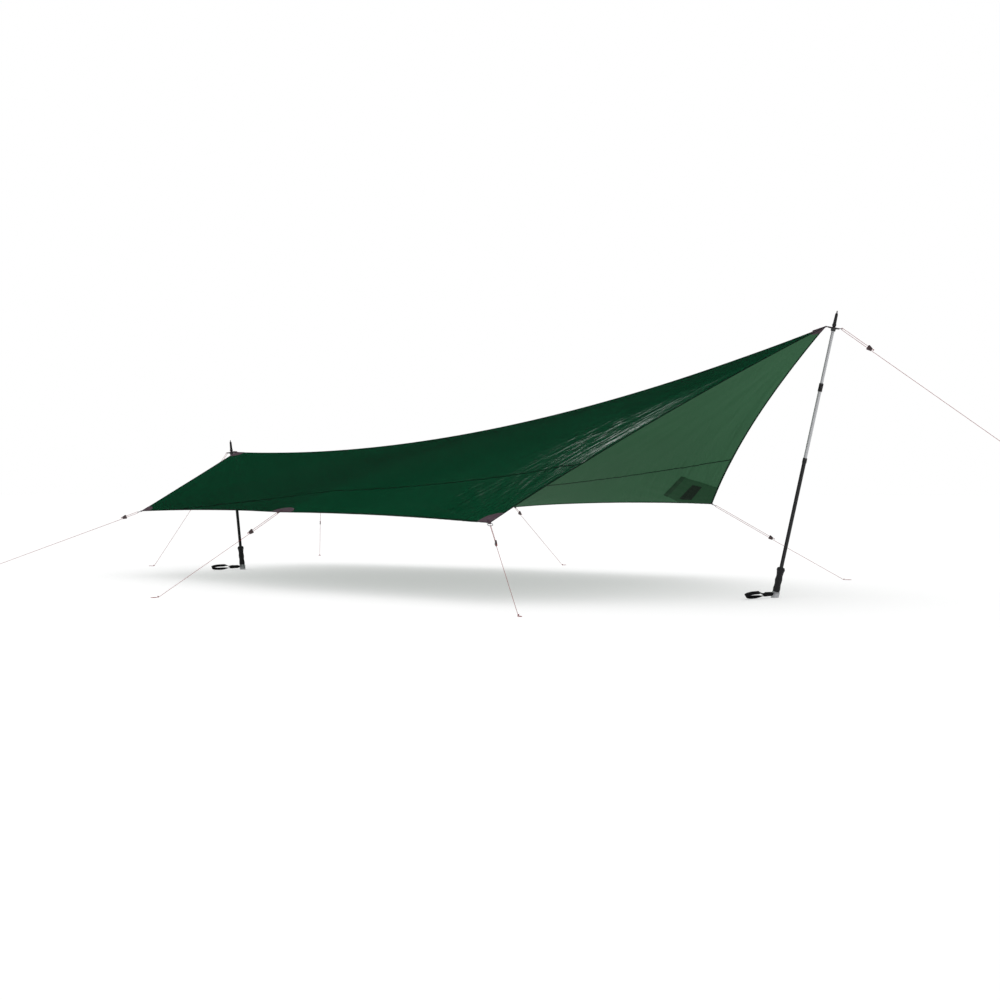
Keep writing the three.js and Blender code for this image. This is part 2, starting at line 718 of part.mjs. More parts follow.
for (const [name, tie] of Object.entries(TIES)) {
  shelter.add(...linePieces(name, turnPoint(name, tie), pegOf(tie), tie.slider));
}
for (const [side, pole] of Object.entries(POLES)) {
  shelter.add(...linePieces(`${side}_ridge`, ridgeTurnPoint(pole), pegOf(pole), pole.slider));
}
const middle = bounds.getCenter(V(0, 0, 0));
shelter.position.set(-middle.x, -middle.y, 0);

const group = new THREE.Group();
group.add(shelter);
export default group;
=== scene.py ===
import json
import math

import bmesh
import bpy
import numpy as np
from mathutils import Matrix, Vector


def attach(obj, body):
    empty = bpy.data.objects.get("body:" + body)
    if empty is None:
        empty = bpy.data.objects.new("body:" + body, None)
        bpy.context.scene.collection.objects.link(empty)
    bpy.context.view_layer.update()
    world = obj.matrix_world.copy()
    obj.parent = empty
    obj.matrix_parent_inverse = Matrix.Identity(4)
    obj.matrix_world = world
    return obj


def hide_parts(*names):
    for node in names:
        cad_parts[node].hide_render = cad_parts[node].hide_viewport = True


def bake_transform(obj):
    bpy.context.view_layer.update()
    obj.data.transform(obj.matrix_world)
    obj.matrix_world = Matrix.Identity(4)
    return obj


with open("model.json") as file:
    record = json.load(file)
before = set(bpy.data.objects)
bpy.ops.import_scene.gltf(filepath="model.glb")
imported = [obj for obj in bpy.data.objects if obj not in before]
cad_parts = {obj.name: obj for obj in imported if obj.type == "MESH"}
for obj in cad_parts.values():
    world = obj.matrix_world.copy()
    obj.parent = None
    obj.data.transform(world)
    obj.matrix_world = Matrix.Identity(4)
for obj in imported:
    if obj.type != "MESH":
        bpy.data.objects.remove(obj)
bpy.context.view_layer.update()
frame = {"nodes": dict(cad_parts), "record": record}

# ---- Driving dimensions, in metres from a mark 23 mm ahead of the front pole's foot ----------
# +X runs along the ridge to the tall front pole, -Y is the near side, +Z is up.
TIES = {
    "near_front": dict(at=(-0.913, -1.072, 0.364), peg=(-0.444, -1.489), slider=0.140),
    "near_mid": dict(at=(-2.300, -1.025, 0.396), peg=(-2.391, -1.774), slider=0.190),
    "near_rear": dict(at=(-3.725, -0.757, 0.382), peg=(-4.680, -1.300), slider=0.086),
    "far_front": dict(at=(-0.913, 1.072, 0.426), peg=(-0.191, 1.367), slider=0.360),
    "far_mid": dict(at=(-2.290, 1.033, 0.396), peg=(-2.288, 1.617), slider=0.058),
    "far_rear": dict(at=(-3.725, 0.757, 0.390), peg=(-4.500, 1.550), slider=0.330),
}
POLES = {
    "front": dict(foot=-0.023, lean=13.0, middle=0.355, lower=0.247, peg=(2.040, 0.0), slider=0.164),
    "rear": dict(foot=-3.678, lean=-7.7, middle=0.054, lower=0.007, peg=(-4.455, -0.110), slider=0.300),
}

# Poles
UPPER_END = 0.675
TUBE_RADIUS = 0.009
TUBE_STEP = 0.001  # each inner tube's radius is this much less
TUBE_WALL = 0.0007
CAP_LENGTH = 0.030
CAP_RADIUS = 0.0185
GRIP_LENGTH = 0.118
GRIP_RADIUS = 0.016
LOCKS = {"upper": (0.022, 0.0106), "lower": (0.036, 0.0104)}
LOCK_LIP = 0.003
HUB_LENGTH = 0.016
BASKET_RADIUS = 0.028
FERRULE_LONG = 0.067  # above the seat of the basket
FERRULE_RADIUS = 0.0074
FERRULE_COLLAR = 0.0092
FERRULE_END = 0.0058
TIP_HEIGHT = 0.0795
TIP_RADIUS = 0.0034
STRAP = dict(long=0.095, high=0.018, wide=0.020, thick=0.0016, yaw=75.0, lift=0.0005, clear=0.003)

STRAP_LEAN = math.radians(48.0)  # the loop's end leans over, so its inside shows

# Cloth
RIDGE_SAG = 0.172
FRONT_BOW = 0.060
REAR_BOW = 0.002
SIDE_BOW = 0.030
SIDE_LIFT = {-1: 0.009, 1: 0.018}  # the far side stands a little higher between its ties
SEAM_FRONT = 0.740
SEAM_REAR = 0.803
APEX_BACK = 0.040
APEX_DROP = {"front": 0.000, "rear": 0.005}
CLOTH = 0.0008
COLUMNS = 330  # of the cloth's mesh, rear to front
ROWS = 66  # from the ridge to a side edge

# Tie-outs and guylines
CORD = 0.001
RING_REACH = 0.026  # from a tie-out to the cord's turn in its ring
EYE_REACH = 0.011
STRAP_REACH = 0.041
STRAP_LEVEL = 0.0015
STRANDS = 0.004
SLIDER_LONG = 0.024
PAST_SLIDER = 0.007
CORD_BEND = 0.020  # each cord's strands take a point just beyond this from their turn at the strap or ring
LOOP_LENGTH = 0.042
END_LOOP = [
    (0.008, 0.0005),
    (0.016, 0.004),
    (0.028, 0.008),
    (0.038, 0.006),
    (0.042, 0.0),
    (0.038, -0.006),
    (0.028, -0.008),
    (0.016, -0.006),
    (0.007, -0.0042),
]

# Stow pocket: its plan outline, measured from the far front tie-out
POCKET_HEM = 0.010
POCKET_PUFF = 0.0022
POCKET = [(-0.072, -0.240), (0.120, -0.100), (0.028, -0.052), (-0.048, -0.020), (-0.165, 0.020), (-0.260, -0.101)]

MOUNTS = {m["name"]: Vector(m["pos_m"]) for m in frame["record"]["mounts"]}
SITE = MOUNTS["front_pole_foot"] - Vector((POLES["front"]["foot"], 0, 0))


# ---- Camera -----------------------------------------------------------------------------------
def make_camera():
    data = bpy.data.cameras.new("camera")
    data.sensor_width = 36.0
    data.lens = 48.6
    data.clip_end = 200.0
    camera = bpy.data.objects.new("camera", data)
    camera.location = SITE + Vector((2.730, -5.934, 0.530))
    camera.rotation_euler = (math.radians(90.0 - 0.594), 0.0, math.radians(36.4))
    bpy.context.scene.collection.objects.link(camera)
    bpy.context.scene.camera = camera


# ---- Shader maths -----------------------------------------------------------------------------
class Wire:
    """An output in a finish's nodes, with the arithmetic that patterns need."""

    def __init__(self, finish, socket):
        self.finish = finish
        self.socket = socket

    def maths(self, operation, other=0.0, swapped=False):
        first, second = (other, self) if swapped else (self, other)
        return self.finish.node("ShaderNodeMath", {"operation": operation}, {0: first, 1: second})

    def __add__(self, other):
        return self.maths("ADD", other)

    def __radd__(self, other):
        return self.maths("ADD", other)

    def __sub__(self, other):
        return self.maths("SUBTRACT", other)

    def __rsub__(self, other):
        return self.maths("SUBTRACT", other, swapped=True)

    def __mul__(self, other):
        return self.maths("MULTIPLY", other)

    def __rmul__(self, other):
        return self.maths("MULTIPLY", other)

    def __truediv__(self, other):
        return self.maths("DIVIDE", other)

    def __pow__(self, other):
        return self.maths("POWER", other)

    def wave(self, period):
        """A ripple from 0 to 1 that repeats every period."""
        return (self * (2.0 * math.pi / period)).maths("SINE") * 0.5 + 0.5

    def top(self, other):
        return self.maths("MAXIMUM", other)

    def above(self, low, high):
        """0 below low, 1 above high and smooth between."""
        settings = {"interpolation_type": "SMOOTHSTEP"}
        return self.finish.node("ShaderNodeMapRange", settings, {0: self, 1: low, 2: high})


class Finish:
    """A procedural material on one Principled shader; uniform values sit on its own sockets."""

    def __init__(self, name, **uniform):
        self.material = bpy.data.materials.new(name)
        self.material.use_nodes = True
        self.tree = self.material.node_tree
        self.shader = self.tree.nodes["Principled BSDF"]
        for key, value in uniform.items():
            self.shader.inputs[key.replace("_", " ")].default_value = value

    def node(self, kind, settings=None, sockets=None, output=0):
        made = self.tree.nodes.new(kind)
        for key, value in (settings or {}).items():
            setattr(made, key, value)
        for key, value in (sockets or {}).items():
            if isinstance(value, Wire):
                self.tree.links.new(value.socket, made.inputs[key])
            else:
                made.inputs[key].default_value = value
        return Wire(self, made.outputs[output])

    def place(self, kind="Object"):
        return self.node("ShaderNodeTexCoord", output=kind)

    def axes(self, place):
        return [self.node("ShaderNodeSeparateXYZ", sockets={0: place}, output=i) for i in range(3)]

    def stretched(self, place, scale):
        return self.node("ShaderNodeMapping", sockets={"Vector": place, "Scale": scale})

    def noise(self, place, scale, detail=3.0, kind="FBM", rough=0.5, swirl=0.0):
        settings = {"noise_type": kind, "normalize": True}
        sockets = {"Vector": place, "Scale": scale, "Detail": detail, "Roughness": rough, "Distortion": swirl}
        return self.node("ShaderNodeTexNoise", settings, sockets)

    def mix(self, share, low, high):
        settings = {"data_type": "RGBA"}
        return self.node("ShaderNodeMix", settings, {0: share, 6: low, 7: high}, output=2)

    def bump(self, height, depth, under=None):
        sockets = {"Height": height, "Distance": depth, "Strength": 1.0}
        if under is not None:
            sockets["Normal"] = under
        return self.node("ShaderNodeBump", sockets=sockets)

    def feed(self, **wires):
        for key, wire in wires.items():
            self.tree.links.new(wire.socket, self.shader.inputs[key.replace("_", " ")])
        return self.material


def shade(red, green, blue):
    """A colour from its usual 0 to 255 values, as light."""
    return [(((c / 255) + 0.055) / 1.055) ** 2.4 if c > 10 else c / 255 / 12.92 for c in (red, green, blue)] + [1.0]


# ---- Finishes ---------------------------------------------------------------------------------
RIPSTOP = 0.005


def coated_cloth(name, deep, pale, roughness, gloss, crinkle):
    """Thin coated ripstop: a fine grid of threads, and small hard creases that catch the light."""
    f = Finish(name, Specular_IOR_Level=gloss)
    place = f.place("UV")
    along, across, _ = f.axes(place)
    grid = along.wave(RIPSTOP).above(0.93, 1.0).top(across.wave(RIPSTOP).above(0.93, 1.0))
    threads = along.wave(RIPSTOP / 6) * across.wave(RIPSTOP / 6)
    low = across.maths("ABSOLUTE").above(0.15, 0.6) * 0.9 + 0.1
    taut = (along.above(3.0, 3.8) * 0.85 + 0.15) * low  # creases crowd towards the front edge
    creases = f.noise(f.stretched(place, (74.0, 4.0, 1.0)), 1.0, 4.0, "RIDGED_MULTIFRACTAL", 0.45, 0.12)
    ripples = f.noise(f.stretched(place, (26.0, 3.0, 1.0)), 1.0, 3.0, rough=0.55, swirl=0.3)
    tone = f.noise(place, 1.3, 3.0)
    colour = f.mix(tone.above(0.25, 0.75) * 0.6 + grid * 0.25, deep, pale)
    normal = f.bump(ripples * taut, 0.006 * crinkle)
    normal = f.bump(creases * taut, 0.0020 * crinkle, normal)
    normal = f.bump(grid + threads * 0.3, 0.00003, normal)
    rough = tone * 0.10 + (roughness - 0.05) + grid * 0.05
    return f.feed(Base_Color=colour, Roughness=rough, Normal=normal)


def woven(name, deep, pale, rib, roughness=0.75, relief=0.0003):
    """Webbing or tape: ribs along it, crossed by a finer weft, a little worn on top."""
    f = Finish(name, Specular_IOR_Level=0.08)
    place = f.place("UV")
    along, across, _ = f.axes(place)
    weave = along.wave(rib) * across.wave(rib * 1.6)
    fuzz = f.noise(place, 900.0, 2.0)
    wear = f.noise(place, 45.0, 3.0)
    colour = f.mix(weave * 0.55 + wear.above(0.45, 0.75) * 0.35, deep, pale)
    normal = f.bump(weave + fuzz * 0.35, relief)
    return f.feed(Base_Color=colour, Roughness=fuzz * 0.2 + (roughness - 0.1), Normal=normal)


def braided(name, deep, pale, fleck):
    """Kernmantle cord: strands crossing round it, with bright reflective flecks."""
    f = Finish(name, Specular_IOR_Level=0.1)
    around, along, _ = f.axes(f.place("UV"))
    left = (along + around).wave(0.0022)
    right = (along - around).wave(0.0022)
    braid = left.top(right)
    flecks = (along + around * 0.5).wave(0.0088).above(0.86, 0.98) * right.above(0.4, 0.8)
    strands = f.mix(braid, deep, pale)
    colour = f.mix(flecks, strands, fleck)
    return f.feed(Base_Color=colour, Roughness=0.75 - flecks * 0.4, Normal=f.bump(braid, 0.0002))


def anodised(name, deep, pale, roughness, metallic, brush):
    """Drawn alloy tube: fine lines along it, scuffs round it, and a thin bright wear."""
    f = Finish(name, Metallic=metallic)
    place = f.place("UV")
    lines = f.noise(f.stretched(place, (1400.0, 9.0, 1.0)), 1.0, 2.0)
    scuffs = f.noise(f.stretched(place, (60.0, 420.0, 1.0)), 1.0, 3.0, "RIDGED_MULTIFRACTAL")
    blotch = f.noise(place, 22.0, 3.0)
    wear = scuffs.above(0.72, 0.9) * blotch.above(0.45, 0.7)
    colour = f.mix(wear * 0.5 + lines * brush, deep, pale)
    rough = lines * 0.16 + (roughness - 0.08) + wear * 0.15
    return f.feed(Base_Color=colour, Roughness=rough, Normal=f.bump(lines + wear * 0.5, 0.00001))


def moulded(name, deep, pale, roughness=0.45, grain=0.00012):
    """Injection-moulded plastic: a spark-eroded grain, with rubbed high places."""
    f = Finish(name)
    place = f.place()
    spark = f.noise(place, 1500.0, 2.0)
    rub = f.noise(place, 90.0, 4.0, swirl=0.6)
    colour = f.mix(rub.above(0.5, 0.8) * 0.8 + spark * 0.15, deep, pale)
    rough = spark * 0.15 + (roughness - 0.07) - rub.above(0.55, 0.8) * 0.1
    return f.feed(Base_Color=colour, Roughness=rough, Normal=f.bump(spark, grain))


def foam(name, deep, pale):
    """Closed-cell foam: open pores over a soft mottled skin."""
    f = Finish(name, Specular_IOR_Level=0.25, Sheen_Weight=0.1)
    place = f.place()
    pores = f.node("ShaderNodeTexVoronoi", {}, {"Vector": place, "Scale": 900.0})
    mottle = f.noise(place, 60.0, 4.0)
    colour = f.mix(pores.above(0.1, 0.6) * 0.5 + mottle.above(0.4, 0.8) * 0.4, deep, pale)
    return f.feed(Base_Color=colour, Roughness=mottle * 0.15 + 0.8, Normal=f.bump(pores, 0.0004))


def machined(name, deep, pale, roughness, metallic=0.5):
    """Turned metal: fine rings round it and small knocks."""
    f = Finish(name, Metallic=metallic)
    place = f.place()
    rings = f.noise(f.stretched(place, (120.0, 120.0, 2200.0)), 1.0, 2.0)
    knocks = f.noise(place, 260.0, 3.0, "RIDGED_MULTIFRACTAL")
    colour = f.mix(rings * 0.5 + knocks.above(0.7, 0.95) * 0.5, deep, pale)
    rough = rings * 0.2 + (roughness - 0.1)
    return f.feed(Base_Color=colour, Roughness=rough, Normal=f.bump(rings + knocks * 0.6, 0.00005))


def floor_finish():
    """A plain matt floor, barely mottled."""
    white = (1.0, 1.0, 1.0, 1.0)
    f = Finish("studio_floor", Specular_IOR_Level=0.0, Roughness=1.0, Emission_Color=white, Emission_Strength=0.45)
    mottle = f.noise(f.place(), 1.5, 2.0)
    return f.feed(Base_Color=f.mix(mottle, (0.490, 0.490, 0.490, 1.0), (0.500, 0.500, 0.500, 1.0)))


FINISH = {
    "outer_cloth": coated_cloth("outer_cloth", shade(2, 53, 31), shade(4, 61, 37), 0.18, 0.35, 1.0),
    # the inner face's paler green is painted light: it stands in for daylight shining through the thin cloth
    "inner_cloth_painted_backlight": coated_cloth("inner_cloth_painted_backlight", shade(49, 90, 62), shade(54, 97, 67), 0.60, 0.06, 0.3),
    "pocket_cloth": coated_cloth("pocket_cloth", shade(27, 65, 39), shade(31, 71, 45), 0.60, 0.06, 0.3),
    "pocket_band": coated_cloth("pocket_band", shade(20, 53, 31), shade(24, 58, 35), 0.60, 0.06, 0.3),
    "label_cloth": woven("label_cloth", shade(12, 30, 18), shade(18, 38, 24), 0.0008),
    "edge_tape": woven("edge_tape", shade(5, 32, 19), shade(9, 42, 26), 0.0012),
    "patch_cloth": woven("patch_cloth", shade(70, 57, 64), shade(92, 78, 86), 0.0014),
    "tie_webbing": woven("tie_webbing", shade(62, 50, 56), shade(88, 72, 80), 0.0016),
    "strap_webbing": woven("strap_webbing", shade(15, 15, 16), shade(38, 38, 40), 0.0018),
    "thread": woven("thread", shade(8, 36, 23), shade(18, 54, 36), 0.0009, relief=0.0001),
    "tie_thread": woven("tie_thread", shade(40, 32, 36), shade(66, 54, 60), 0.0009, relief=0.0001),
    "cord": braided("cord", shade(104, 18, 26), shade(136, 34, 42), shade(205, 180, 178)),
    "slider_plastic": moulded("slider_plastic", shade(58, 42, 44), shade(84, 66, 68)),
    "ring_metal": machined("ring_metal", shade(176, 176, 178), shade(216, 216, 218), 0.30),
    "black_alloy": anodised("black_alloy", shade(20, 20, 22), shade(66, 66, 70), 0.38, 0.35, 0.10),
    "bare_alloy": anodised("bare_alloy", shade(170, 171, 173), shade(205, 206, 208), 0.34, 0.6, 0.5),
    "cap_metal": machined("cap_metal", shade(150, 151, 154), shade(196, 197, 200), 0.40),
    "grip_foam": foam("grip_foam", shade(17, 17, 18), shade(38, 38, 40)),
    "carbide": machined("carbide", shade(118, 114, 116), shade(150, 146, 148), 0.42),
    "black_plastic": moulded("black_plastic", shade(18, 18, 19), shade(44, 44, 46), 0.48),
}


# ---- Mesh helpers -----------------------------------------------------------------------------
def linked(name, mesh):
    piece = bpy.data.objects.new(name, mesh)
    bpy.context.scene.collection.objects.link(piece)
    return piece


def tidied(mesh, angle=35.0, merge=1e-6):
    """Doubles merged, faces turned outwards, smooth but for edges sharper than angle."""
    body = bmesh.new()
    body.from_mesh(mesh)
    bmesh.ops.remove_doubles(body, verts=body.verts, dist=merge)
    bmesh.ops.recalc_face_normals(body, faces=body.faces)
    body.to_mesh(mesh)
    body.free()
    mesh.shade_smooth()
    mesh.set_sharp_from_angle(angle=math.radians(angle))


def loft(name, rings, finish, loop=False, angle=35.0):
    """A closed skin through rings of points: an array of stations, points and x, y, z."""
    rings = np.asarray(rings, float)
    count, size = rings.shape[:2]
    closed = np.concatenate([rings, rings[:, :1]], axis=1)
    girth = np.concatenate([[0.0], np.cumsum(np.linalg.norm(np.diff(closed, axis=1), axis=2).max(axis=0))])
    centres = rings.mean(axis=1)
    if loop:
        widest = np.linalg.norm(rings - np.roll(rings, -1, axis=0), axis=2).max(axis=1)
        station = np.concatenate([[0.0], np.cumsum(widest)])
    else:
        station = np.concatenate([[0.0], np.cumsum(np.linalg.norm(np.diff(centres, axis=0), axis=1))])
    faces = []
    corners = []
    for i in range(count if loop else count - 1):
        here = i * size
        there = ((i + 1) % count) * size
        for j in range(size):
            k = (j + 1) % size
            faces.append((here + j, here + k, there + k, there + j))
            corners += [(girth[j], station[i]), (girth[j + 1], station[i])]
            corners += [(girth[j + 1], station[i + 1]), (girth[j], station[i + 1])]
    if not loop:
        faces.append(tuple(range(size)))
        faces.append(tuple(range((count - 1) * size, count * size)))
        corners += [(girth[j], station[0]) for j in range(size)]
        corners += [(girth[j], station[-1]) for j in range(size)]
    mesh = bpy.data.meshes.new(name)
    mesh.from_pydata([tuple(p) for p in rings.reshape(-1, 3)], [], faces)
    mesh.uv_layers.new(name="UVMap").data.foreach_set("uv", np.asarray(corners, np.float32).ravel())
    mesh.materials.append(FINISH[finish])
    tidied(mesh, angle)
    return linked(name, mesh)


def frames_along(path, first_side):
    """At each point of a path, its side and upright unit vectors, turned as little as possible."""
    path = np.asarray(path, float)
    tangents = np.gradient(path, axis=0)
    tangents /= np.linalg.norm(tangents, axis=1)[:, None]
    side = np.asarray(first_side, float)
    pairs = []
    for tangent in tangents:
        side = side - tangent * (side @ tangent)
        side /= np.linalg.norm(side)
        pairs.append((side, np.cross(tangent, side)))
    return pairs


def tube_along(name, path, radius, finish, sides=10, first_side=(0.3, 0.2, 1.0)):
    turns = [2 * math.pi * k / sides for k in range(sides)]
    rings = []
    for point, (side, up) in zip(path, frames_along(path, first_side)):
        rings.append([np.asarray(point) + radius * (math.cos(t) * side + math.sin(t) * up) for t in turns])
    return loft(name, rings, finish, angle=60.0)


def smooth_path(points, steps):
    """Points through which a soft line runs, with steps between each pair."""
    p = [np.asarray(q, float) for q in points]
    p = [2 * p[0] - p[1], *p, 2 * p[-1] - p[-2]]
    path = []
    for a, b, c, d in zip(p, p[1:], p[2:], p[3:]):
        for k in range(steps):
            t = k / steps
            path.append(b + 0.5 * t * (c - a + t * (2 * a - 5 * b + 4 * c - d + t * (3 * (b - c) + d - a))))
    return [*path, p[-2]]


def show(piece, body, slot, *nodes):
    """A finished piece rides on its body and stands for CAD nodes; slot is not used."""
    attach(piece, body)
    if nodes:
        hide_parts(*nodes)
    return piece


# ---- Guylines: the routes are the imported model's ------------------------------------------------
def line_frame(origin, end):
    """X along a line, Y level and Z square to both."""
    x = (end - origin).normalized()
    y = Vector((0, 0, 1)).cross(x).normalized()
    return Matrix.Translation(origin) @ Matrix((x, y, x.cross(y))).transposed().to_4x4()


def pole_frame(side):
    pole = POLES[side]
    return Matrix.Translation((pole["foot"], 0, 0)) @ Matrix.Rotation(math.radians(pole["lean"]), 4, "Y")


def seat_of(side):
    return UPPER_END + POLES[side]["middle"] + POLES[side]["lower"] + HUB_LENGTH


def ridge_frame(side):
    """On top of the basket, with X pointing out of the shelter."""
    turn = 0.0 if POLES[side]["lean"] > 0 else math.pi
    return pole_frame(side) @ Matrix.Translation((0, 0, seat_of(side))) @ Matrix.Rotation(turn, 4, "Z")


def peg_of(line):
    return Vector((*line["peg"], CORD))


def tie_frame(name):
    return line_frame(Vector(TIES[name]["at"]), peg_of(TIES[name]))


def cord_route(turn, peg, slider_at):
    """From the slider's knot up to the tie-out, round it and back; then the end loop at the peg."""
    level = Vector((peg.x - turn.x, peg.y - turn.y, 0)).normalized()
    side = Vector((-level.y, level.x, 0))
    foot = peg - level * LOOP_LENGTH
    place = line_frame(turn, foot)
    end = slider_at + SLIDER_LONG / 2 + PAST_SLIDER
    strand = (end, slider_at, slider_at - 0.75 * SLIDER_LONG, CORD_BEND + 0.002, STRANDS)
    taut = [place @ Vector((x, 0, STRANDS)) for x in strand]
    for i in range(7):
        angle = math.pi / 2 + math.pi * i / 6
        taut.append(place @ Vector((STRANDS * math.cos(angle), 0, STRANDS * math.sin(angle))))
    taut += [place @ Vector((x, 0, -STRANDS)) for x in reversed(strand)]
    taut.append(taut[-1].lerp(foot, 0.5))
    loop = [foot.lerp(taut[-1], 0.006), foot + level * 0.0025]
    loop += [foot + level * x + side * y for x, y in END_LOOP]
    return [p + SITE for p in taut], [p + SITE for p in loop], place


def knot(name, centre, along, size):
    """A small overhand knot of the cord's own thickness."""
    turns = [2 * math.pi * k / 36 for k in range(37)]
    out = Vector(along).normalized()
    turn = out.to_track_quat("Z", "Y").to_matrix()
    path = []
    for t in turns:
        reach = 2 + math.cos(3 * t)
        local = Vector((reach * math.cos(2 * t), reach * math.sin(2 * t), 1.25 * math.sin(3 * t)))
        path.append(np.array(centre + turn @ (local * size)))
    sides = [2 * math.pi * k / 8 for k in range(8)]
    rings = []
    for point, (side, up) in zip(path, frames_along(path, (0.1, 0.3, 1.0))):
        rings.append([point + CORD * (math.cos(a) * side + math.sin(a) * up) for a in sides])
    return loft(name, rings[:-1], "cord", loop=True, angle=60.0)


def softened(name, node, finish, bevel, local=None, angle=30.0, segments=2):
    """The shape of a CAD node with its edges rounded; UV is its plan in the frame local."""
    mesh = frame["nodes"][node].data.copy()
    mesh.materials.clear()
    body = bmesh.new()
    body.from_mesh(mesh)
    bmesh.ops.remove_doubles(body, verts=body.verts, dist=2e-6)
    limit = math.radians(1.0)
    bmesh.ops.dissolve_limit(body, angle_limit=limit, verts=body.verts, edges=body.edges)
    bmesh.ops.recalc_face_normals(body, faces=body.faces)
    layer = body.loops.layers.uv.verify()
    inverse = (local or Matrix.Identity(4)).inverted()
    for face in body.faces:
        for corner in face.loops:
            p = inverse @ (corner.vert.co - SITE)
            corner[layer].uv = (p.x, p.y + 0.35 * p.z)
    body.to_mesh(mesh)
    body.free()
    mesh.name = name
    mesh.materials.append(FINISH[finish])
    piece = linked(name, mesh)
    rounding = piece.modifiers.new("rounding", "BEVEL")
    rounding.width = bevel
    rounding.segments = segments
    rounding.limit_method = "ANGLE"
    rounding.angle_limit = math.radians(angle)
    bpy.context.view_layer.update()
    rounded = bpy.data.meshes.new_from_object(piece.evaluated_get(bpy.context.evaluated_depsgraph_get()))
    piece.modifiers.clear()
    piece.data = rounded
    rounded.shade_smooth()
    rounded.set_sharp_from_angle(angle=math.radians(40.0))
    return piece


def make_guyline(name, turn, line, pole_body=None):
    taut, loop, place = cord_route(turn, peg_of(line), line["slider"])
    path = [np.array(p) for p in taut] + smooth_path(loop, 4)
    cord = tube_along(f"{name}_cord", path, CORD, "cord")
    outwards = place.to_3x3() @ Vector((1, 0, 0))
    slider = softened(f"{name}_adjuster", f"{name}_slider", "slider_plastic", 0.0007)
    show(slider, f"{name}_adjuster", "slider_plastic", f"{name}_slider")
    stopper = knot(f"{name}_stopper_knot", taut[0], outwards, 0.0010)
    loop_knot = knot(f"{name}_loop_knot", loop[1] + Vector((0, 0, 0.0034)), loop[2] - loop[0], 0.0010)
    for piece in (stopper, loop_knot):
        show(piece, "canopy", "guyline_cord")
    if pole_body:
        eye = place @ Vector((STRANDS, 0, 0)) + SITE
        eye + outwards * (CORD_BEND - STRANDS)
        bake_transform(cord)
        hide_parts(f"{name}_guyline")
    else:
        show(cord, "canopy", "guyline_cord", f"{name}_guyline")


def make_guylines():
    for name, tie in TIES.items():
        reach = EYE_REACH if name.endswith("_mid") else RING_REACH
        make_guyline(name, tie_frame(name) @ Vector((reach, 0, 0)), tie)
    for side, pole in POLES.items():
        turn = ridge_frame(side) @ Vector((STRAP_REACH, 0, STRAP_LEVEL))
        make_guyline(f"{side}_ridge", turn, pole, pole_body=f"{side}_lower_section")


# ---- Canopy surface -----------------------------------------------------------------------------
def noise(seed, x, y=0.0):
    """Smooth noise from -1 to 1 over a plane, with about one swing per unit."""
    table = np.random.RandomState(seed).uniform(-1, 1, (64, 64))
    x, y = np.broadcast_arrays(np.asarray(x, float), np.asarray(y, float))
    i, j = np.floor(x).astype(int), np.floor(y).astype(int)
    s, t = x - i, y - j
    s, t = s * s * (3 - 2 * s), t * t * (3 - 2 * t)
    i, j = i % 64, j % 64
    k, m = (i + 1) % 64, (j + 1) % 64
    near = table[i, j] * (1 - s) + table[k, j] * s
    far = table[i, m] * (1 - s) + table[k, m] * s
    return near * (1 - t) + far * t


def ease(x, low, high):
    t = np.clip((x - low) / (high - low), 0, 1)
    return t * t * (3 - 2 * t)


def bowed(a, b, t, bow):
    """A line from a to b pushed aside by bow at its middle."""
    t = np.asarray(t, float)[..., None]
    return np.asarray(a) * (1 - t) + np.asarray(b) * t + np.asarray(bow) * 4 * t * (1 - t)


def apex(side):
    out = 1 if POLES[side]["lean"] > 0 else -1
    return np.array(pole_frame(side) @ Vector((-out * APEX_BACK, 0, seat_of(side) - APEX_DROP[side])))


APEX = {side: apex(side) for side in POLES}


def tie_of(half, place):
    return np.array(TIES[("near_" if half < 0 else "far_") + place]["at"])


def cloth_form(half, u, v):
    """The smooth cloth: u from rear to front, v from the ridge to the side edge; half is -1 or 1."""
    rear, mid, front = (tie_of(half, place) for place in ("rear", "mid", "front"))
    bow = (0, -half * SIDE_BOW, SIDE_LIFT[half])
    ridge = bowed(APEX["rear"], APEX["front"], u, (0, 0, -RIDGE_SAG))
    edge = np.where((u < 0.5)[..., None], bowed(rear, mid, 2 * u, bow), bowed(mid, front, 2 * u - 1, bow))
    front_edge = bowed(APEX["front"], front, v, (-FRONT_BOW, 0, 0))
    rear_edge = bowed(APEX["rear"], rear, v, (REAR_BOW, 0, 0))
    straight_rear = bowed(APEX["rear"], rear, v, (0, 0, 0))
    straight_front = bowed(APEX["front"], front, v, (0, 0, 0))
    s, t = u[..., None], v[..., None]
    lengthwise = ridge * (1 - t) + edge * t
    crosswise = rear_edge * (1 - s) + front_edge * s
    return lengthwise + crosswise - straight_rear * (1 - s) - straight_front * s


def graded(count, first, last):
    """Places from 0 to 1 whose steps change evenly from first to last, in relative size."""
    steps = np.linspace(first, last, count)
    return np.concatenate([[0.0], np.cumsum(steps) / steps.sum()])


def fan(p, q, spread, reach, slope, seed, start=0.03):
    """Creases that radiate from a tie-out, at p and q metres from it along its two edges."""
    r = np.hypot(p, q)
    turn = np.arctan2(q, p)
    swing = noise(seed, turn / spread + 40.0, r / 0.45 + 7.0)
    size = slope * spread * r * np.exp(-((r / reach) ** 2)) * ease(r, start, start + 0.08)
    return size * swing


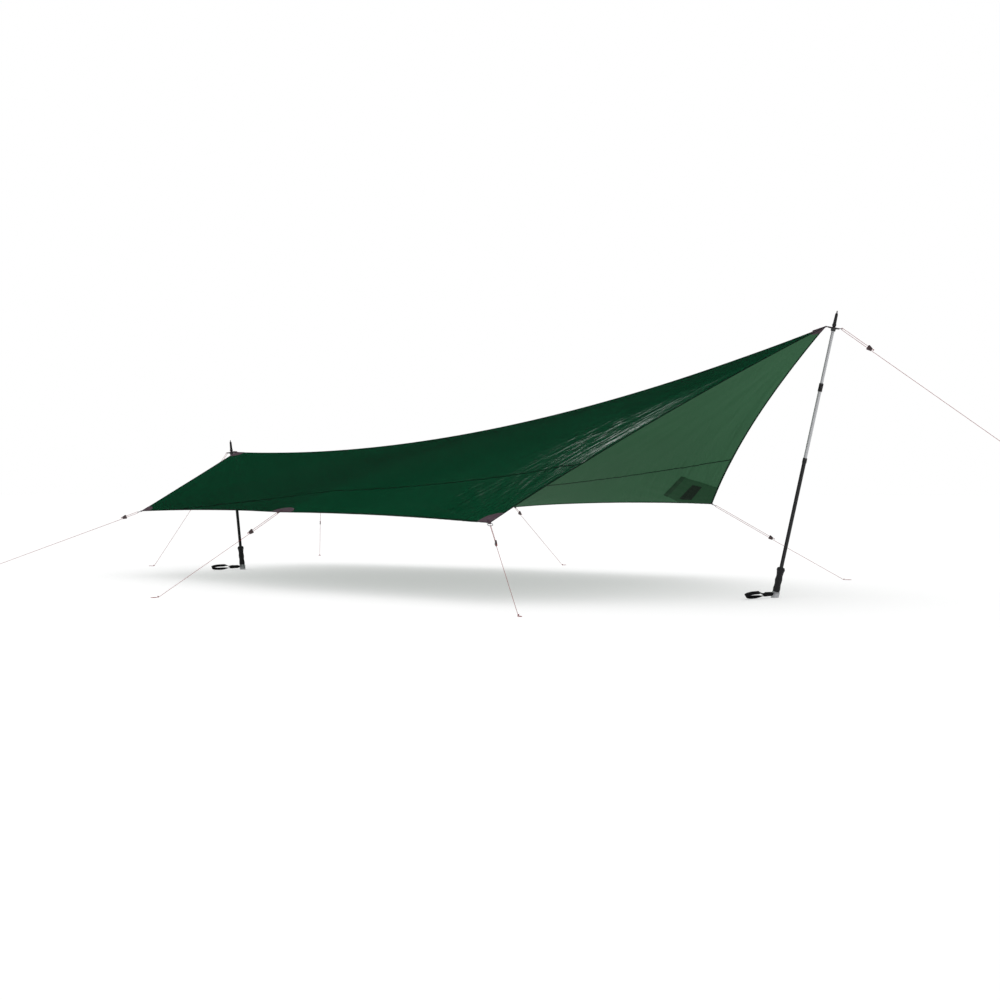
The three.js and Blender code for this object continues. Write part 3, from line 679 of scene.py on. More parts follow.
class Cloth:
    """One half of the canopy as a grid of points, with its creases."""

    def __init__(self, half):
        self.half = half
        self.us = graded(COLUMNS, 1.5, 0.45)
        self.vs = graded(ROWS, 1.35, 0.6)
        u, v = np.meshgrid(self.us, self.vs, indexing="ij")
        smooth = cloth_form(half, u, v)
        self.widths = self.run_of(smooth, 1)
        self.lengths = self.run_of(smooth, 0)
        self.seam = self.seam_line(smooth)
        self.normals = self.normals_of(smooth)
        relief = self.creases(u, v)
        self.points = smooth + self.normals * relief[..., None]
        self.normals = self.normals_of(self.points)
        self.normals[:, 0, 1] = 0.0
        self.normals /= np.linalg.norm(self.normals, axis=2)[..., None]

    @staticmethod
    def run_of(points, axis):
        return np.linalg.norm(np.diff(points, axis=axis), axis=2).sum(axis=axis)

    def normals_of(self, points):
        along = np.gradient(points, axis=0)
        across = np.gradient(points, axis=1)
        normals = np.cross(along, across) * self.half
        return normals / np.linalg.norm(normals, axis=2)[..., None]

    def seam_line(self, points):
        """The place v of the panel seam at each column."""
        share = (points[..., 0] - APEX["rear"][0]) / (APEX["front"][0] - APEX["rear"][0])
        beyond = np.abs(points[..., 1]) - (SEAM_REAR + (SEAM_FRONT - SEAM_REAR) * share)
        return np.array([np.interp(0.0, row, self.vs) if row[-1] > 0 else 2.0 for row in beyond])

    def creases(self, u, v):
        width = self.widths[:, None]
        length = self.lengths[None, :]
        to_front, to_rear = (1 - u) * length, u * length
        to_ridge, to_side = v * width, (1 - v) * width
        to_mid = np.abs(u - 0.5) * length
        near = 1.0 if self.half < 0 else 0.6
        seed = 11 if self.half < 0 else 51
        relief = fan(to_front, to_side, 0.055, 0.45, 0.22 * near, seed, 0.05)
        relief += fan(to_front, to_ridge, 0.045, 0.90, 0.10, seed + 1)
        relief += fan(to_rear, to_side, 0.10, 0.35, 0.06, seed + 2)
        relief += fan(to_rear, to_ridge, 0.10, 0.40, 0.06, seed + 3)
        relief += fan(to_mid * np.sign(u - 0.5), to_side, 0.12, 0.30, 0.08, seed + 4)
        # long creases along the front edge
        window = ease(v, 0.10, 0.45) * (1 - 0.4 * ease(v, 0.9, 1.0))
        long_creases = noise(seed + 5, to_front / 0.013, to_side / 0.30) * np.exp(-to_front / 0.26)
        relief += 0.0021 * near * window * long_creases * ease(to_front, 0.0, 0.03)
        # the cloth rolls under its front edge
        roll = np.exp(-(((to_front - 0.11) / 0.055) ** 2)) - 0.7 * np.exp(-(((to_front - 0.035) / 0.030) ** 2))
        relief += 0.0032 * near * roll * ease(v, 0.04, 0.3) * (1 - ease(v, 0.65, 0.95))
        # puckers across the panel seam
        from_seam = (v - self.seam[:, None]) * width
        puckers = noise(seed + 6, to_front / 0.017, from_seam / 0.25)
        forward = ease(u, 0.45, 0.8)
        relief += 0.0013 * puckers * np.exp(-((from_seam / 0.085) ** 2)) * (0.25 + forward)
        falls = noise(seed + 7, to_front / 0.020, from_seam / 0.6)
        relief += 0.0022 * near * falls * ease(from_seam, 0.0, 0.08) * ease(u, 0.66, 0.90) * ease(to_side, 0.0, 0.08)
        # broad loose waves, quiet at the edges
        quiet = ease(to_front, 0, 0.3) * ease(to_rear, 0, 0.3) * ease(to_side, 0, 0.25) * ease(to_ridge, 0, 0.15)
        relief += 0.0020 * quiet * noise(seed + 8, to_front / 0.34, to_side / 0.24)
        relief += 0.0004 * quiet * noise(seed + 9, to_front / 0.060, to_side / 0.16)
        return relief

    def at(self, u, v, lift):
        """The outer face at u, v, raised by lift; the grid runs on straight beyond its edges."""
        u, v, lift = np.broadcast_arrays(np.asarray(u, float), np.asarray(v, float), np.asarray(lift, float))
        i = np.clip(np.searchsorted(self.us, u) - 1, 0, COLUMNS - 1)
        j = np.clip(np.searchsorted(self.vs, v) - 1, 0, ROWS - 1)
        s = ((u - self.us[i]) / (self.us[i + 1] - self.us[i]))[..., None]
        t = ((v - self.vs[j]) / (self.vs[j + 1] - self.vs[j]))[..., None]
        found = []
        for grid in (self.points, self.normals):
            low = grid[i, j] * (1 - s) + grid[i + 1, j] * s
            high = grid[i, j + 1] * (1 - s) + grid[i + 1, j + 1] * s
            found.append(low * (1 - t) + high * t)
        return found[0] + found[1] * lift[..., None] + np.array(SITE)

    def width(self, u):
        return np.interp(u, self.us, self.widths)

    def length(self, v):
        return np.interp(v, self.vs, self.lengths)


HALVES = {"near": Cloth(-1), "far": Cloth(1)}


def make_canopy():
    """One continuous cloth over the ridge, with an outer and an inner face."""
    near, far = HALVES["near"], HALVES["far"]
    points = np.concatenate([near.points[:, :0:-1], far.points], axis=1)
    normals = np.concatenate([near.normals[:, :0:-1], far.normals], axis=1)
    across = np.concatenate([-near.vs[:0:-1], far.vs])
    count, size = points.shape[:2]
    rows = np.concatenate([points, points - normals * CLOTH], axis=0).reshape(-1, 3) + np.array(SITE)
    widths = (near.widths + far.widths) / 2
    middle = near.lengths[0]
    flat = np.stack(np.broadcast_arrays(near.us[:, None] * middle, across[None, :] * widths[:, None]), axis=2)
    flat = flat.reshape(-1, 2)
    a = (np.arange(count - 1)[:, None] * size + np.arange(size - 1)).ravel()
    outer = np.stack([a, a + size, a + size + 1, a + 1], axis=1)
    under = count * size
    inner = outer[:, ::-1] + under
    rim = [i * size for i in range(count - 1)]
    rim += [(count - 1) * size + j for j in range(size - 1)]
    rim += [i * size + size - 1 for i in range(count - 1, 0, -1)]
    rim += list(range(size - 1, 0, -1))
    after = rim[1:] + rim[:1]
    border = np.array([(p, p + under, q + under, q) for p, q in zip(rim, after)])
    faces = np.concatenate([outer, inner, border])
    mesh = bpy.data.meshes.new("canopy")
    mesh.from_pydata(rows.tolist(), [], faces.tolist())
    mesh.uv_layers.new(name="UVMap").data.foreach_set("uv", flat[faces.ravel() % under].astype(np.float32).ravel())
    # the inner face takes the paler finish, whose colour holds painted light shining through the cloth
    for finish in ("outer_cloth", "inner_cloth_painted_backlight"):
        mesh.materials.append(FINISH[finish])
    inside = np.zeros(len(faces), np.int32)
    inside[len(outer):len(outer) + len(inner)] = 1
    mesh.polygons.foreach_set("material_index", inside)
    mesh.shade_smooth()
    mesh.set_sharp_from_angle(angle=math.radians(50.0))
    canopy = linked("canopy", mesh)
    panels = [f"{half}_{panel}_panel" for half in HALVES for panel in ("main", "side")]
    show(canopy, "canopy", "cloth", *panels)
    return canopy


# ---- Tapes, patches and the pocket: each lies on the cloth ---------------------------------------
def strip(name, halves, us, vs, lifts, finish):
    """A closed band: arrays of stations by section points, on the near or the far half each."""
    near = HALVES["near"].at(us, vs, lifts)
    far = HALVES["far"].at(us, vs, lifts)
    rings = np.where((np.broadcast_to(halves, us.shape) < 0)[..., None], near, far)
    return loft(name, rings, finish, angle=60.0)


FELL = [(-1.0, -0.1), (-1.0, 0.5), (-0.5, 0.8), (0.5, 0.8), (1.0, 0.5), (1.0, -0.1)]  # a flat-felled seam
BINDING = [(0.009, 0.0), (0.009, 0.0007), (0.005, 0.0010), (0.0, 0.0010), (-0.0014, 0.0004)]
BINDING += [(-0.0014, -0.0012), (0.0, -0.0018), (0.005, -0.0018), (0.009, -0.0015), (0.009, -0.0008)]
SEAM_HALF = 0.005
MM = 0.001


def make_seams():
    """The ridge seam and the two panel seams, felled on both faces."""
    tapes = []
    for half, cloth in HALVES.items():
        keep = cloth.seam < 1.0
        us, seam = cloth.us[keep][:, None], cloth.seam[keep][:, None]
        for face, flip in (("outer", 1.0), ("inner", -1.0)):
            section = np.array(FELL)
            vs = seam + section[None, :, 0] * SEAM_HALF / cloth.width(us)
            base = 0.0 if flip > 0 else -CLOTH
            lifts = base + flip * section[None, :, 1] * MM
            halves = np.full(vs.shape, cloth.half)
            name = f"{half}_seam_{face}"
            tapes.append(strip(name, halves, np.broadcast_to(us, vs.shape), vs, lifts, "edge_tape"))
    us = HALVES["near"].us[:, None]
    for face, flip in (("outer", 1.0), ("inner", -1.0)):
        section = np.array([*FELL[:3], (0.0, 0.8), *FELL[3:], (0.0, -0.1)])
        side = np.broadcast_to(np.where(section[:, 0] < 0, -1, 1), (len(us), len(section)))
        vs = np.abs(section[None, :, 0]) * SEAM_HALF / HALVES["near"].width(us)
        lifts = (0.0 if flip > 0 else -CLOTH) + flip * section[None, :, 1] * MM
        tapes.append(strip(f"ridge_seam_{face}", side, np.broadcast_to(us, vs.shape), vs, lifts, "edge_tape"))
    return tapes


def edge_place(cloth, edge, station, inwards):
    """u and v at a station of an edge, some metres inside it."""
    if edge == "side":
        return station, 1 - inwards / cloth.width(station)
    away = inwards / cloth.length(station)
    return (1 - away if edge == "front" else away), station


def make_bindings():
    tapes = []
    section = np.array(BINDING)
    for half, cloth in HALVES.items():
        for edge, stations in (("front", cloth.vs), ("side", cloth.us), ("rear", cloth.vs)):
            us, vs = edge_place(cloth, edge, stations[:, None], section[None, :, 0])
            us, vs = np.broadcast_arrays(us, vs)
            halves = np.full(us.shape, cloth.half)
            name = f"{half}_{edge}_binding"
            tapes.append(strip(name, halves, us, vs, np.broadcast_to(section[:, 1], us.shape), "edge_tape"))
    return tapes


def corner_place(cloth, corner, p, q):
    """u and v at p metres along the length and q across it from a corner of this half."""
    end, side = corner
    u = 1 - p / cloth.length(1.0 if side == "tie" else 0.0)
    if end == "rear":
        u = 1 - u
    if end == "mid":
        u = 0.5 + p / cloth.length(1.0)
    width = cloth.width(u)
    return u, (1 - q / width if side == "tie" else q / width)


def make_patch(name, cloth, corner, long, wide, sweep, face):
    """A reinforcement with a rounded inner edge, cut to the corner that it covers."""
    base, out = (0.0, 1.0) if face == "outer" else (-CLOTH, -1.0)
    turns = np.linspace(*sweep, 25)
    shares = np.linspace(0.02, 1.0, 9)
    bulge = 1.0
    p = long * np.sign(np.cos(turns)) * np.abs(np.cos(turns)) ** bulge
    q = wide * np.abs(np.sin(turns)) ** bulge
    ps, qs = shares[:, None] * p, shares[:, None] * q + 0.0004
    us, vs = corner_place(cloth, corner, ps, qs)
    top = cloth.at(us, vs, base + out * 0.0021)
    top[-1] = cloth.at(us[-1], vs[-1], base + out * 0.0012)
    bottom = cloth.at(us, vs, base - out * 0.0002)
    rings = np.concatenate([top, bottom[::-1]], axis=0).transpose(1, 0, 2)
    return loft(name, rings, "patch_cloth", angle=50.0), cloth.at(us[-2], vs[-2], base + out * 0.0023)


def make_patches():
    patches = []
    lines = []
    for half, cloth in HALVES.items():
        plans = {
            "front": (("front", "tie"), 0.082, 0.086, (0.0, math.pi / 2)),
            "rear": (("rear", "tie"), 0.085, 0.060, (0.0, math.pi / 2)),
            "mid": (("mid", "tie"), 0.080, 0.062, (0.0, math.pi)),
            "front_peak": (("front", "ridge"), 0.068, 0.046, (0.0, math.pi / 2)),
            "rear_peak": (("rear", "ridge"), 0.080, 0.060, (0.0, math.pi / 2)),
        }
        for place, plan in plans.items():
            for face in ("outer", "inner") if place.endswith("peak") else ("outer",):
                patch, line = make_patch(f"{half}_{place}_{face}_patch", cloth, *plan, face)
                patches.append(patch)
                lines.append(line)
    return patches, lines


def plan_to_cloth(cloth, points):
    """u and v of plan points, by Newton steps on the smooth cloth."""
    target = np.asarray(points, float)
    u = np.full(target.shape[:-1], 0.9)
    v = np.full(target.shape[:-1], 0.85)
    h = 1e-4
    for _ in range(12):
        here = cloth_form(cloth.half, u, v)[..., :2]
        du = (cloth_form(cloth.half, u + h, v)[..., :2] - here) / h
        dv = (cloth_form(cloth.half, u, v + h)[..., :2] - here) / h
        miss = target - here
        det = du[..., 0] * dv[..., 1] - du[..., 1] * dv[..., 0]
        u = u + (miss[..., 0] * dv[..., 1] - miss[..., 1] * dv[..., 0]) / det
        v = v + (du[..., 0] * miss[..., 1] - du[..., 1] * miss[..., 0]) / det
    return u, v


def crossing(start, end, axis, limit):
    """Where a line in u and v reaches a limit."""
    share = (limit - start[axis]) / (end[axis] - start[axis])
    return start + (end - start) * share


def quilt(name, cloth, bottom, top, across, up, base, depth, puff, finish, bands=28):
    """A flat bag under the cloth, between two borders in u and v; it swells in the middle."""
    s, t = np.meshgrid(np.linspace(*across, bands), np.linspace(*up, bands), indexing="ij")
    places = []
    for axis in range(2):
        low = np.interp(s, np.linspace(0, 1, len(bottom)), [p[axis] for p in bottom])
        high = np.interp(s, np.linspace(0, 1, len(top)), [p[axis] for p in top])
        places.append(low * (1 - t) + high * t)
    bulge = np.clip(4 * s * (1 - s), 0, 1) * np.clip(4 * t * (1 - t), 0, 1)
    swell = POCKET_PUFF * bulge ** 0.6
    edge = np.minimum(np.minimum(s - across[0], across[1] - s), np.minimum(t - up[0], up[1] - t))
    swell = swell + puff * ease(edge, 0.0, 0.08)
    upper = cloth.at(*places, -CLOTH - base)
    lower = cloth.at(*places, -CLOTH - 0.0002 - depth - swell)
    rings = np.concatenate([upper, lower[:, ::-1]], axis=1)
    return loft(name, rings, finish, angle=50.0), [p[[-1, 0]] for p in lower], lower


def make_pocket(cloth):
    """The stow pocket by the far front corner, with the band at its mouth and a plain label."""
    corner = tie_of(1, "front")[:2]
    plan = np.array([corner + np.array(point) for point in POCKET])
    outline = np.stack(plan_to_cloth(cloth, plan), axis=1)
    top, right, _, _, beyond, left = outline
    u_limit = 1 - POCKET_HEM / float(cloth.length(1.0))
    v_limit = 1 - POCKET_HEM / float(cloth.width(1.0))
    low = crossing(left, beyond, 1, v_limit)
    bottom_edge = [left, low, np.array([u_limit, v_limit])]
    top_edge = [top, (top + crossing(top, right, 0, u_limit)) / 2, crossing(top, right, 0, u_limit)]
    sides = (bottom_edge, top_edge)
    bag = quilt("pocket", cloth, *sides, (0, 1), (0, 1), 0.0002, 0.0008, 0.0, "pocket_cloth")
    band = quilt("pocket_band", cloth, *sides, (-0.01, 0.12), (-0.02, 1.02), 0.0004, 0.0012, 0.0004, "pocket_band")
    label = quilt("pocket_label", cloth, *sides, (0.42, 0.66), (0.16, 0.84), 0.0010, 0.0012, 0.0003, "label_cloth")
    pieces = [made[0] for made in (bag, band, label)]
    for piece in pieces:
        show(piece, "canopy", "pocket_cloth")
    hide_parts("stow_pocket")
    return pieces


# ---- Stitches -------------------------------------------------------------------------------------
def stitch_tree():
    """Stitches along a path: a small rounded bar at every pitch, turned along the path."""
    tree = bpy.data.node_groups.new("stitches", "GeometryNodeTree")
    face = tree.interface
    face.new_socket("Geometry", in_out="INPUT", socket_type="NodeSocketGeometry")
    for name in ("Pitch", "Stitch length", "Thread radius"):
        face.new_socket(name, in_out="INPUT", socket_type="NodeSocketFloat")
    face.new_socket("Thread", in_out="INPUT", socket_type="NodeSocketMaterial")
    face.new_socket("Geometry", in_out="OUTPUT", socket_type="NodeSocketGeometry")
    start = tree.nodes.new("NodeGroupInput")
    end = tree.nodes.new("NodeGroupOutput")
    points = tree.nodes.new("GeometryNodeCurveToPoints")
    points.mode = "LENGTH"
    bar = tree.nodes.new("GeometryNodeMeshUVSphere")
    bar.inputs["Segments"].default_value = 6
    bar.inputs["Rings"].default_value = 4
    size = tree.nodes.new("ShaderNodeCombineXYZ")
    half = tree.nodes.new("ShaderNodeMath")
    half.operation = "MULTIPLY"
    half.inputs[1].default_value = 0.5
    place = tree.nodes.new("GeometryNodeInstanceOnPoints")
    real = tree.nodes.new("GeometryNodeRealizeInstances")
    paint = tree.nodes.new("GeometryNodeSetMaterial")
    join = tree.links.new
    join(start.outputs["Geometry"], points.inputs["Curve"])
    join(start.outputs["Pitch"], points.inputs["Length"])
    join(start.outputs["Stitch length"], half.inputs[0])
    join(start.outputs["Thread radius"], size.inputs["X"])
    join(start.outputs["Thread radius"], size.inputs["Y"])
    join(half.outputs[0], size.inputs["Z"])
    join(points.outputs["Points"], place.inputs["Points"])
    join(points.outputs["Rotation"], place.inputs["Rotation"])
    join(bar.outputs["Mesh"], place.inputs["Instance"])
    join(size.outputs[0], place.inputs["Scale"])
    join(place.outputs["Instances"], real.inputs["Geometry"])
    join(real.outputs["Geometry"], paint.inputs["Geometry"])
    join(start.outputs["Thread"], paint.inputs["Material"])
    join(paint.outputs["Geometry"], end.inputs["Geometry"])
    return tree


STITCHES = stitch_tree()


def stitched(name, paths, pitch, long, radius, finish):
    """Stitches along several paths, as one plain mesh."""
    data = bpy.data.curves.new(name, "CURVE")
    data.dimensions = "3D"
    for path in paths:
        spline = data.splines.new("POLY")
        spline.points.add(len(path) - 1)
        flat = np.concatenate([np.asarray(path, float), np.ones((len(path), 1))], axis=1)
        spline.points.foreach_set("co", flat.ravel())
    line = bpy.data.objects.new(name, data)
    bpy.context.scene.collection.objects.link(line)
    modifier = line.modifiers.new("stitches", "NODES")
    modifier.node_group = STITCHES
    values = {"Pitch": pitch, "Stitch length": long, "Thread radius": radius, "Thread": FINISH[finish]}
    for item in STITCHES.interface.items_tree:
        if item.in_out == "INPUT" and item.name in values:
            modifier[item.identifier] = values[item.name]
    bpy.context.view_layer.update()
    mesh = bpy.data.meshes.new_from_object(line.evaluated_get(bpy.context.evaluated_depsgraph_get()))
    bpy.data.objects.remove(line)
    mesh.name = name
    mesh.shade_smooth()
    return linked(name, mesh)


def seam_paths():
    """Both stitch rows of every seam and binding."""
    seams = []
    hems = []
    for cloth in HALVES.values():
        keep = cloth.seam < 1.0
        us, seam = cloth.us[keep], cloth.seam[keep]
        for away in (-0.003, 0.003):
            seams.append(cloth.at(us, seam + away / cloth.width(us), 0.0010))
        seams.append(cloth.at(cloth.us, 0.003 / cloth.width(cloth.us), 0.0010))
        for edge, stations in (("front", cloth.vs), ("side", cloth.us), ("rear", cloth.vs)):
            us, vs = edge_place(cloth, edge, stations, 0.007)
            hems.append(cloth.at(us, vs, 0.0010))
            hems.append(cloth.at(us, vs, -0.0018))
    return seams, hems


# ---- Tie-outs -------------------------------------------------------------------------------------
def make_ties():
    """Webbing and rings at the six side tie-outs, and the two ridge straps."""
    pieces = []
    for name in TIES:
        local = tie_frame(name)
        tab = softened(f"{name}_webbing", f"{name}_tab", "tie_webbing", 0.0004, local)
        pieces.append(show(tab, "canopy", "webbing", f"{name}_tab"))
        bars = []
        for x in (-0.018, -0.014, -0.007):
            for side in (-1, 1):
                ends = [local @ Vector((x, y, side * 0.00125)) + SITE for y in (-0.0045, 0.0045)]
                bars.append([np.array(p) for p in ends])
        stitching = stitched(f"{name}_bartack", bars, 0.0012, 0.0016, 0.00035, "tie_thread")
        pieces.append(show(stitching, "canopy", "webbing"))
        if not name.endswith("_mid"):
            pieces.append(make_ring(name, local))
    for side in POLES:
        local = ridge_frame(side)
        strap = softened(f"{side}_ridge_strap", f"{side}_ridge_tab", "tie_webbing", 0.0004, local)
        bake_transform(strap)
        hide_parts(f"{side}_ridge_tab")
        pieces.append(strap)
    return pieces


def make_ring(name, local):
    """A welded ring of round wire, smooth all the way round."""
    radius, wire, centre = 0.012, 0.002, 0.014
    rings = []
    for k in range(64):
        a = 2 * math.pi * k / 64
        out = Vector((math.cos(a), math.sin(a), 0))
        ring = []
        for m in range(14):
            b = 2 * math.pi * m / 14
            swell = wire * (1 + 0.10 * math.exp(-((k - 32) / 1.6) ** 2))
            p = Vector((centre, 0, 0)) + out * (radius + swell * math.cos(b)) + Vector((0, 0, swell * math.sin(b)))
            ring.append(np.array(local @ p + SITE))
        rings.append(ring)
    ring = loft(f"{name}_wire_ring", rings, "ring_metal", loop=True, angle=60.0)
    return show(ring, "canopy", "ring_metal", f"{name}_ring")


# ---- Poles ----------------------------------------------------------------------------------------
def turned(name, side, profile, finish, sides=48, angle=35.0):
    """A piece turned about a pole's axis: profile is a list of (radius, height up the pole)."""
    local = pole_frame(side)
    rings = []
    for k in range(sides):
        a = 2 * math.pi * k / sides
        c, s = math.cos(a), math.sin(a)
        rings.append([np.array(SITE + local @ Vector((r * c, r * s, z))) for r, z in profile])
    return loft(name, rings, finish, loop=True, angle=angle)


def hollow(outer, inner, low, high, lip=0.0004):
    """The profile of a tube with its ends broken."""
    profile = [(inner, low), (outer - lip, low), (outer, low + lip), (outer, high - lip)]
    return [*profile, (outer - lip, high), (inner, high)]


def grip_profile():
    """Foam with shallow finger rolls, a ribbed middle and a collar."""
    low, high = CAP_LENGTH + 0.0003, CAP_LENGTH + 0.0003 + GRIP_LENGTH
    bore = TUBE_RADIUS + 0.0003
    profile = [(bore, low), (GRIP_RADIUS - 0.001, low), (GRIP_RADIUS, low + 0.001)]
    steps = 60
    for k in range(steps + 1):
        share = k / steps
        z = low + 0.002 + share * (GRIP_LENGTH - 0.010)
        roll = 0.0010 * math.sin(2 * math.pi * share * 2.5)
        rib = 0.0005 * max(0.0, math.sin(2 * math.pi * share * 15)) if 0.30 < share < 0.72 else 0.0
        collar = 0.0033 * math.exp(-(((share - 0.97) / 0.06) ** 2))
        profile.append((GRIP_RADIUS + roll + collar - rib, z))
    return [*profile, (GRIP_RADIUS + 0.0005, high - 0.002), (bore + 0.002, high), (bore, high)]


def lock_profile(which, tube, inner, end):
    """A sleeve with grip ribs round it and a lip over the tube's end."""
    length, radius = LOCKS[which]
    bore = tube + 0.0003
    low = end - length
    profile = [(bore, low), (radius - 0.0008, low), (radius - 0.0003, low + 0.0008)]
    count = int((length - 0.006) / 0.0024)
    for k in range(count):
        z = low + 0.003 + k * 0.0024
        profile += [(radius - 0.0006, z), (radius, z + 0.0005), (radius, z + 0.0014), (radius - 0.0006, z + 0.0019)]
    profile += [(radius - 0.0004, end), (radius - 0.0004, end + LOCK_LIP - 0.0006)]
    profile += [(radius - 0.0010, end + LOCK_LIP), (inner + 0.0003, end + LOCK_LIP)]
    return [*profile, (inner + 0.0003, end + 0.0003), (bore, end + 0.0003)]


def ferrule_profile(seat):
    """A moulded ferrule: straight through the strap, then a collar and a long taper to the tip."""
    end = seat + FERRULE_LONG
    profile = [(0.0003, seat + 0.0006), (FERRULE_RADIUS, seat + 0.0006), (FERRULE_RADIUS, seat + 0.007)]
    profile += [(FERRULE_COLLAR - 0.0004, seat + 0.009), (FERRULE_COLLAR, seat + 0.010)]
    profile += [(FERRULE_COLLAR, seat + 0.017), (FERRULE_COLLAR - 0.0015, seat + 0.019)]
    profile += [(FERRULE_END + 0.0006, end - 0.006), (FERRULE_END, end - 0.001), (FERRULE_END - 0.0008, end)]
    return [*profile, (0.0003, end)]


def tip_profile(seat, top):
    """The hard pin that stands out of the ferrule, blunt at its end."""
    low = seat + FERRULE_LONG + 0.0002
    shank = [(0.0003, low), (TIP_RADIUS, low), (TIP_RADIUS, top - 0.006), (TIP_RADIUS - 0.0010, top - 0.0025)]
    return [*shank, (TIP_RADIUS - 0.0016, top - 0.0003), (0.0003, top)]


def make_pole(side):
    pole = POLES[side]
    middle_end = UPPER_END + pole["middle"]
    lower_end = middle_end + pole["lower"]
    seat = seat_of(side)
    upper_start = CAP_LENGTH + 0.005
    middle_long = UPPER_END - upper_start - 0.035
    lower_long = middle_long - 0.035
    middle, lower = TUBE_RADIUS - TUBE_STEP, TUBE_RADIUS - 2 * TUBE_STEP
    parts = {
        "upper_tube": ("upper_section", "black_alloy", hollow(TUBE_RADIUS, TUBE_RADIUS - TUBE_WALL, upper_start, UPPER_END)),
        "middle_tube": ("middle_section", "bare_alloy", hollow(middle, middle - TUBE_WALL, middle_end - middle_long, middle_end)),
        "lower_tube": ("lower_section", "bare_alloy", hollow(lower, lower - TUBE_WALL, lower_end - lower_long, seat)),
        "grip": ("upper_section", "grip_foam", grip_profile()),
        "upper_lock": ("upper_section", "black_plastic", lock_profile("upper", TUBE_RADIUS, middle, UPPER_END)),
        "lower_lock": ("middle_section", "black_plastic", lock_profile("lower", middle, lower, middle_end)),
        "ferrule": ("lower_section", "black_plastic", ferrule_profile(seat)),
        "carbide_tip": ("lower_section", "carbide", tip_profile(seat, seat + TIP_HEIGHT)),
    }
    for part, (body, finish, profile) in parts.items():
        piece = turned(f"{side}_pole_{part}", side, profile, finish)
        show(piece, f"{side}_{body}", finish, f"{side}_{part}")
    for part, body, finish, bevel in (
        ("grip_cap", "upper_section", "cap_metal", 0.0006),
        ("basket", "lower_section", "black_plastic", 0.0004),
        ("middle_expander", "middle_plug", "black_plastic", 0.0003),
        ("lower_expander", "lower_plug", "black_plastic", 0.0003),
    ):
        piece = softened(f"{side}_pole_{part}", f"{side}_{part}", finish, bevel, pole_frame(side))
        show(piece, f"{side}_{body}", finish, f"{side}_{part}")
    make_wrist_strap(side)


def make_wrist_strap(side):
    """A loop of webbing that turns over once before it reaches the grip."""
    pole = POLES[side]
    height = STRAP["high"] + STRAP["lift"]
    axis = pole["foot"] + height * math.tan(math.radians(pole["lean"]))
    yaw = math.radians(STRAP["yaw"])
    out = Vector((-math.cos(yaw), -math.sin(yaw), 0))
    beside = Vector((-out.y, out.x, 0))
    near_end = CAP_RADIUS - 0.0005
    far_end = CAP_RADIUS + STRAP["clear"] + 2 * STRAP["long"]
    centre = Vector((axis, 0, height)) + SITE
    rings = []
    steps = 140
    half_thick, half_wide = STRAP["thick"] / 2, STRAP["wide"] / 2 - 0.0005
    half_long = (far_end - near_end) / 2
    stations = [near_end + half_long * (1 - math.cos(2 * math.pi * k / steps)) for k in range(steps)]
    heights = []
    for k, x in enumerate(stations):
        share = (x - near_end) / (far_end - near_end)
        opening = 0.0045 + (STRAP["high"] - 0.0065) * float(ease(share, 0.34, 0.66))
        round_end = math.sqrt(max(0.0, 1 - max(0.0, (share - 0.72) / 0.28) ** 2))
        root = float(ease(share, 0.0, 0.10)) * 0.8 + 0.2 if 0 < k < steps else 0.0
        heights.append(opening * round_end * root * (1 if k <= steps // 2 else -1))
    for k in range(steps):
        x, z = stations[k], heights[k]
        share = (x - near_end) / (far_end - near_end)
        lean = STRAP_LEAN * float(ease(share, 0.35, 0.65))
        width = half_wide * (0.4 + 0.6 * float(ease(share, 0.0, 0.08)))  # folded where the cap holds it
        roll = math.pi / 2 * (1 + float(ease(share, 0.18, 0.46))) + lean
        before, after = (k - 1) % steps, (k + 1) % steps
        run = Vector((stations[after] - stations[before], heights[after] - heights[before]))
        run = run.normalized() if run.length > 1e-9 else Vector((0, 1))
        up = Vector((0, 0, 1)) * math.cos(roll) + beside * math.sin(roll)
        wide = beside * math.cos(roll) - Vector((0, 0, 1)) * math.sin(roll)
        normal = out * -run.y + up * run.x
        reach = STRAP["high"] * math.cos(lean) + half_wide * math.sin(lean)
        lift = max(0.0, reach + half_thick - height + 0.0004)
        middle = centre + out * x + up * z + Vector((0, 0, lift))
        rings.append([
            np.array(middle + normal * (n * half_thick) + wide * (w * width))
            for n, w in ((-1, -0.96), (-0.4, -1), (0.4, -1), (1, -0.96), (1, 0), (1, 0.96), (0.4, 1), (-0.4, 1), (-1, 0.96), (-1, 0))
        ])
    strap = loft(f"{side}_wrist_loop", rings, "strap_webbing", loop=True, angle=50.0)
    show(strap, f"{side}_strap", "strap_webbing", f"{side}_wrist_strap")


# ---- Floor and lights -----------------------------------------------------------------------------
def make_stage():
    mesh = bpy.data.meshes.new("floor")
    reach = 60.0
    corners = [(-reach, -reach), (reach, -reach), (reach, reach), (-reach, reach)]
    mesh.from_pydata([(x, y, -0.0003) for x, y in corners], [], [(0, 1, 2, 3)])
    mesh.materials.append(floor_finish())
    floor = linked("floor", mesh)


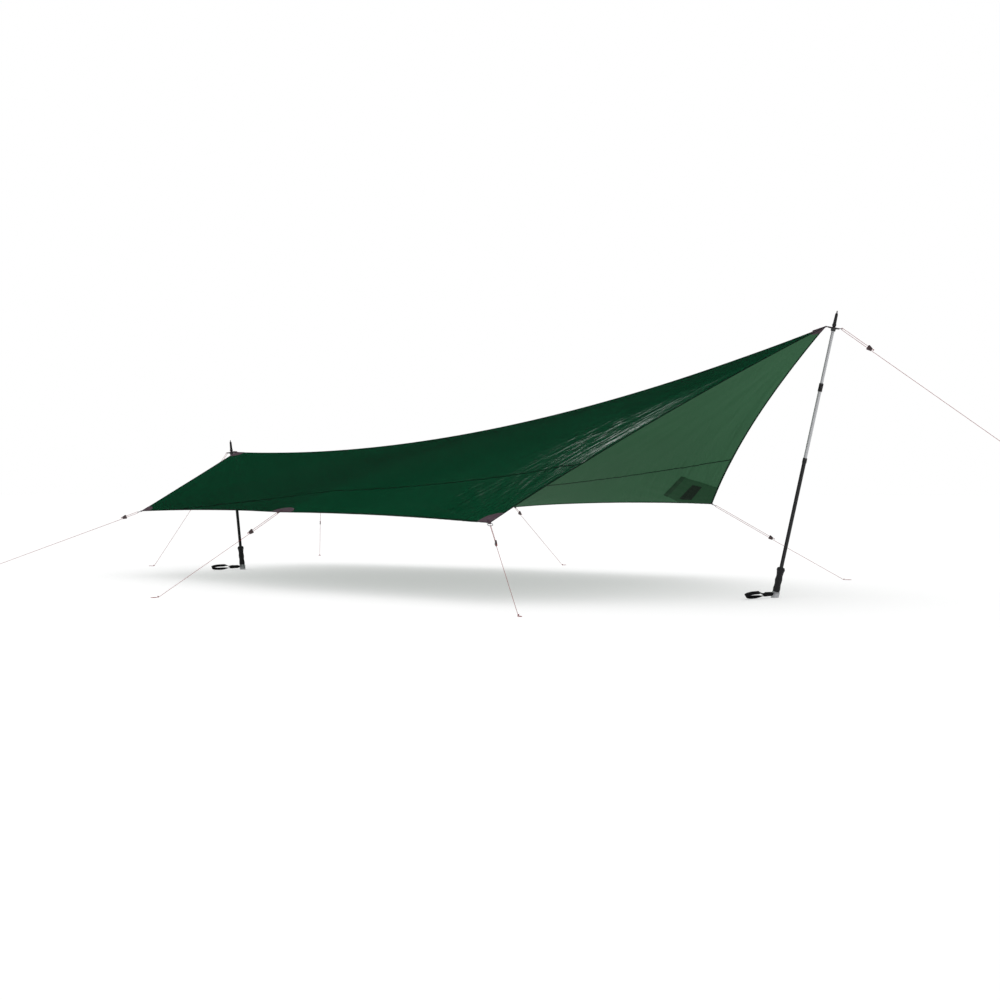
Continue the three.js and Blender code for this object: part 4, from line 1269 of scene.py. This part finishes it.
def soft_light(name, place, aim, size, watts, sheen=False):
    """A soft box that lights matt surfaces only, or the gloss only."""
    data = bpy.data.lights.new(name, "AREA")
    data.shape = "RECTANGLE"
    data.size, data.size_y = size
    data.energy = watts
    lamp = bpy.data.objects.new(name, data)
    lamp.location = SITE + Vector(place)
    lamp.rotation_euler = (Vector(place) - Vector(aim)).to_track_quat("Z", "Y").to_euler()
    lamp.visible_diffuse = not sheen
    lamp.visible_glossy = sheen
    bpy.context.scene.collection.objects.link(lamp)


ROOM = {"matt": 1.15, "seen": 1.0, "gloss": 0.01}  # the pale room's brightness for each sort of ray


def make_lights():
    """A pale room that gloss sees as dim, a wide soft box overhead and one behind for sheen."""
    world = bpy.data.worlds.new("room")
    world.use_nodes = True
    nodes, links = world.node_tree.nodes, world.node_tree.links
    rays = nodes.new("ShaderNodeLightPath")
    level = nodes.new("ShaderNodeMapRange")
    level.inputs["To Min"].default_value = ROOM["matt"]
    level.inputs["To Max"].default_value = ROOM["seen"]
    links.new(rays.outputs["Is Camera Ray"], level.inputs["Value"])
    dim = nodes.new("ShaderNodeMapRange")
    dim.inputs["To Max"].default_value = ROOM["gloss"]
    links.new(rays.outputs["Is Glossy Ray"], dim.inputs["Value"])
    links.new(level.outputs[0], dim.inputs["To Min"])
    links.new(dim.outputs[0], nodes["Background"].inputs["Strength"])
    nodes["Background"].inputs["Color"].default_value = (1.0, 1.0, 1.0, 1.0)
    bpy.context.scene.world = world
    soft_light("overhead", (-1.9, 0.2, 4.6), (-1.9, 0.0, 0.0), (5.0, 4.0), 30.0)
    soft_light("sheen", (-3.0, 0.1, 5.4), (-0.8, -0.8, 0.5), (0.7, 0.7), 26.0, sheen=True)
    bpy.context.scene.view_settings.view_transform = "Standard"


# ---- Assembly -------------------------------------------------------------------------------------
make_camera()
make_guylines()
canopy = make_canopy()
sewn = make_seams() + make_bindings()
patches, patch_lines = make_patches()
for piece in sewn:
    show(piece, "canopy", "cloth")
for piece in patches:
    show(piece, "canopy", "webbing")
make_pocket(HALVES["far"])
seams, hems = seam_paths()
stitching = [
    show(stitched("seam_stitches", seams, 0.0065, 0.0042, 0.00030, "thread"), "canopy", "cloth"),
    show(stitched("hem_stitches", hems, 0.0085, 0.0052, 0.00030, "thread"), "canopy", "cloth"),
    show(stitched("patch_stitches", patch_lines, 0.0040, 0.0028, 0.00030, "tie_thread"), "canopy", "webbing"),
]
ties = make_ties()
for side in POLES:
    make_pole(side)
make_stage()
make_lights()
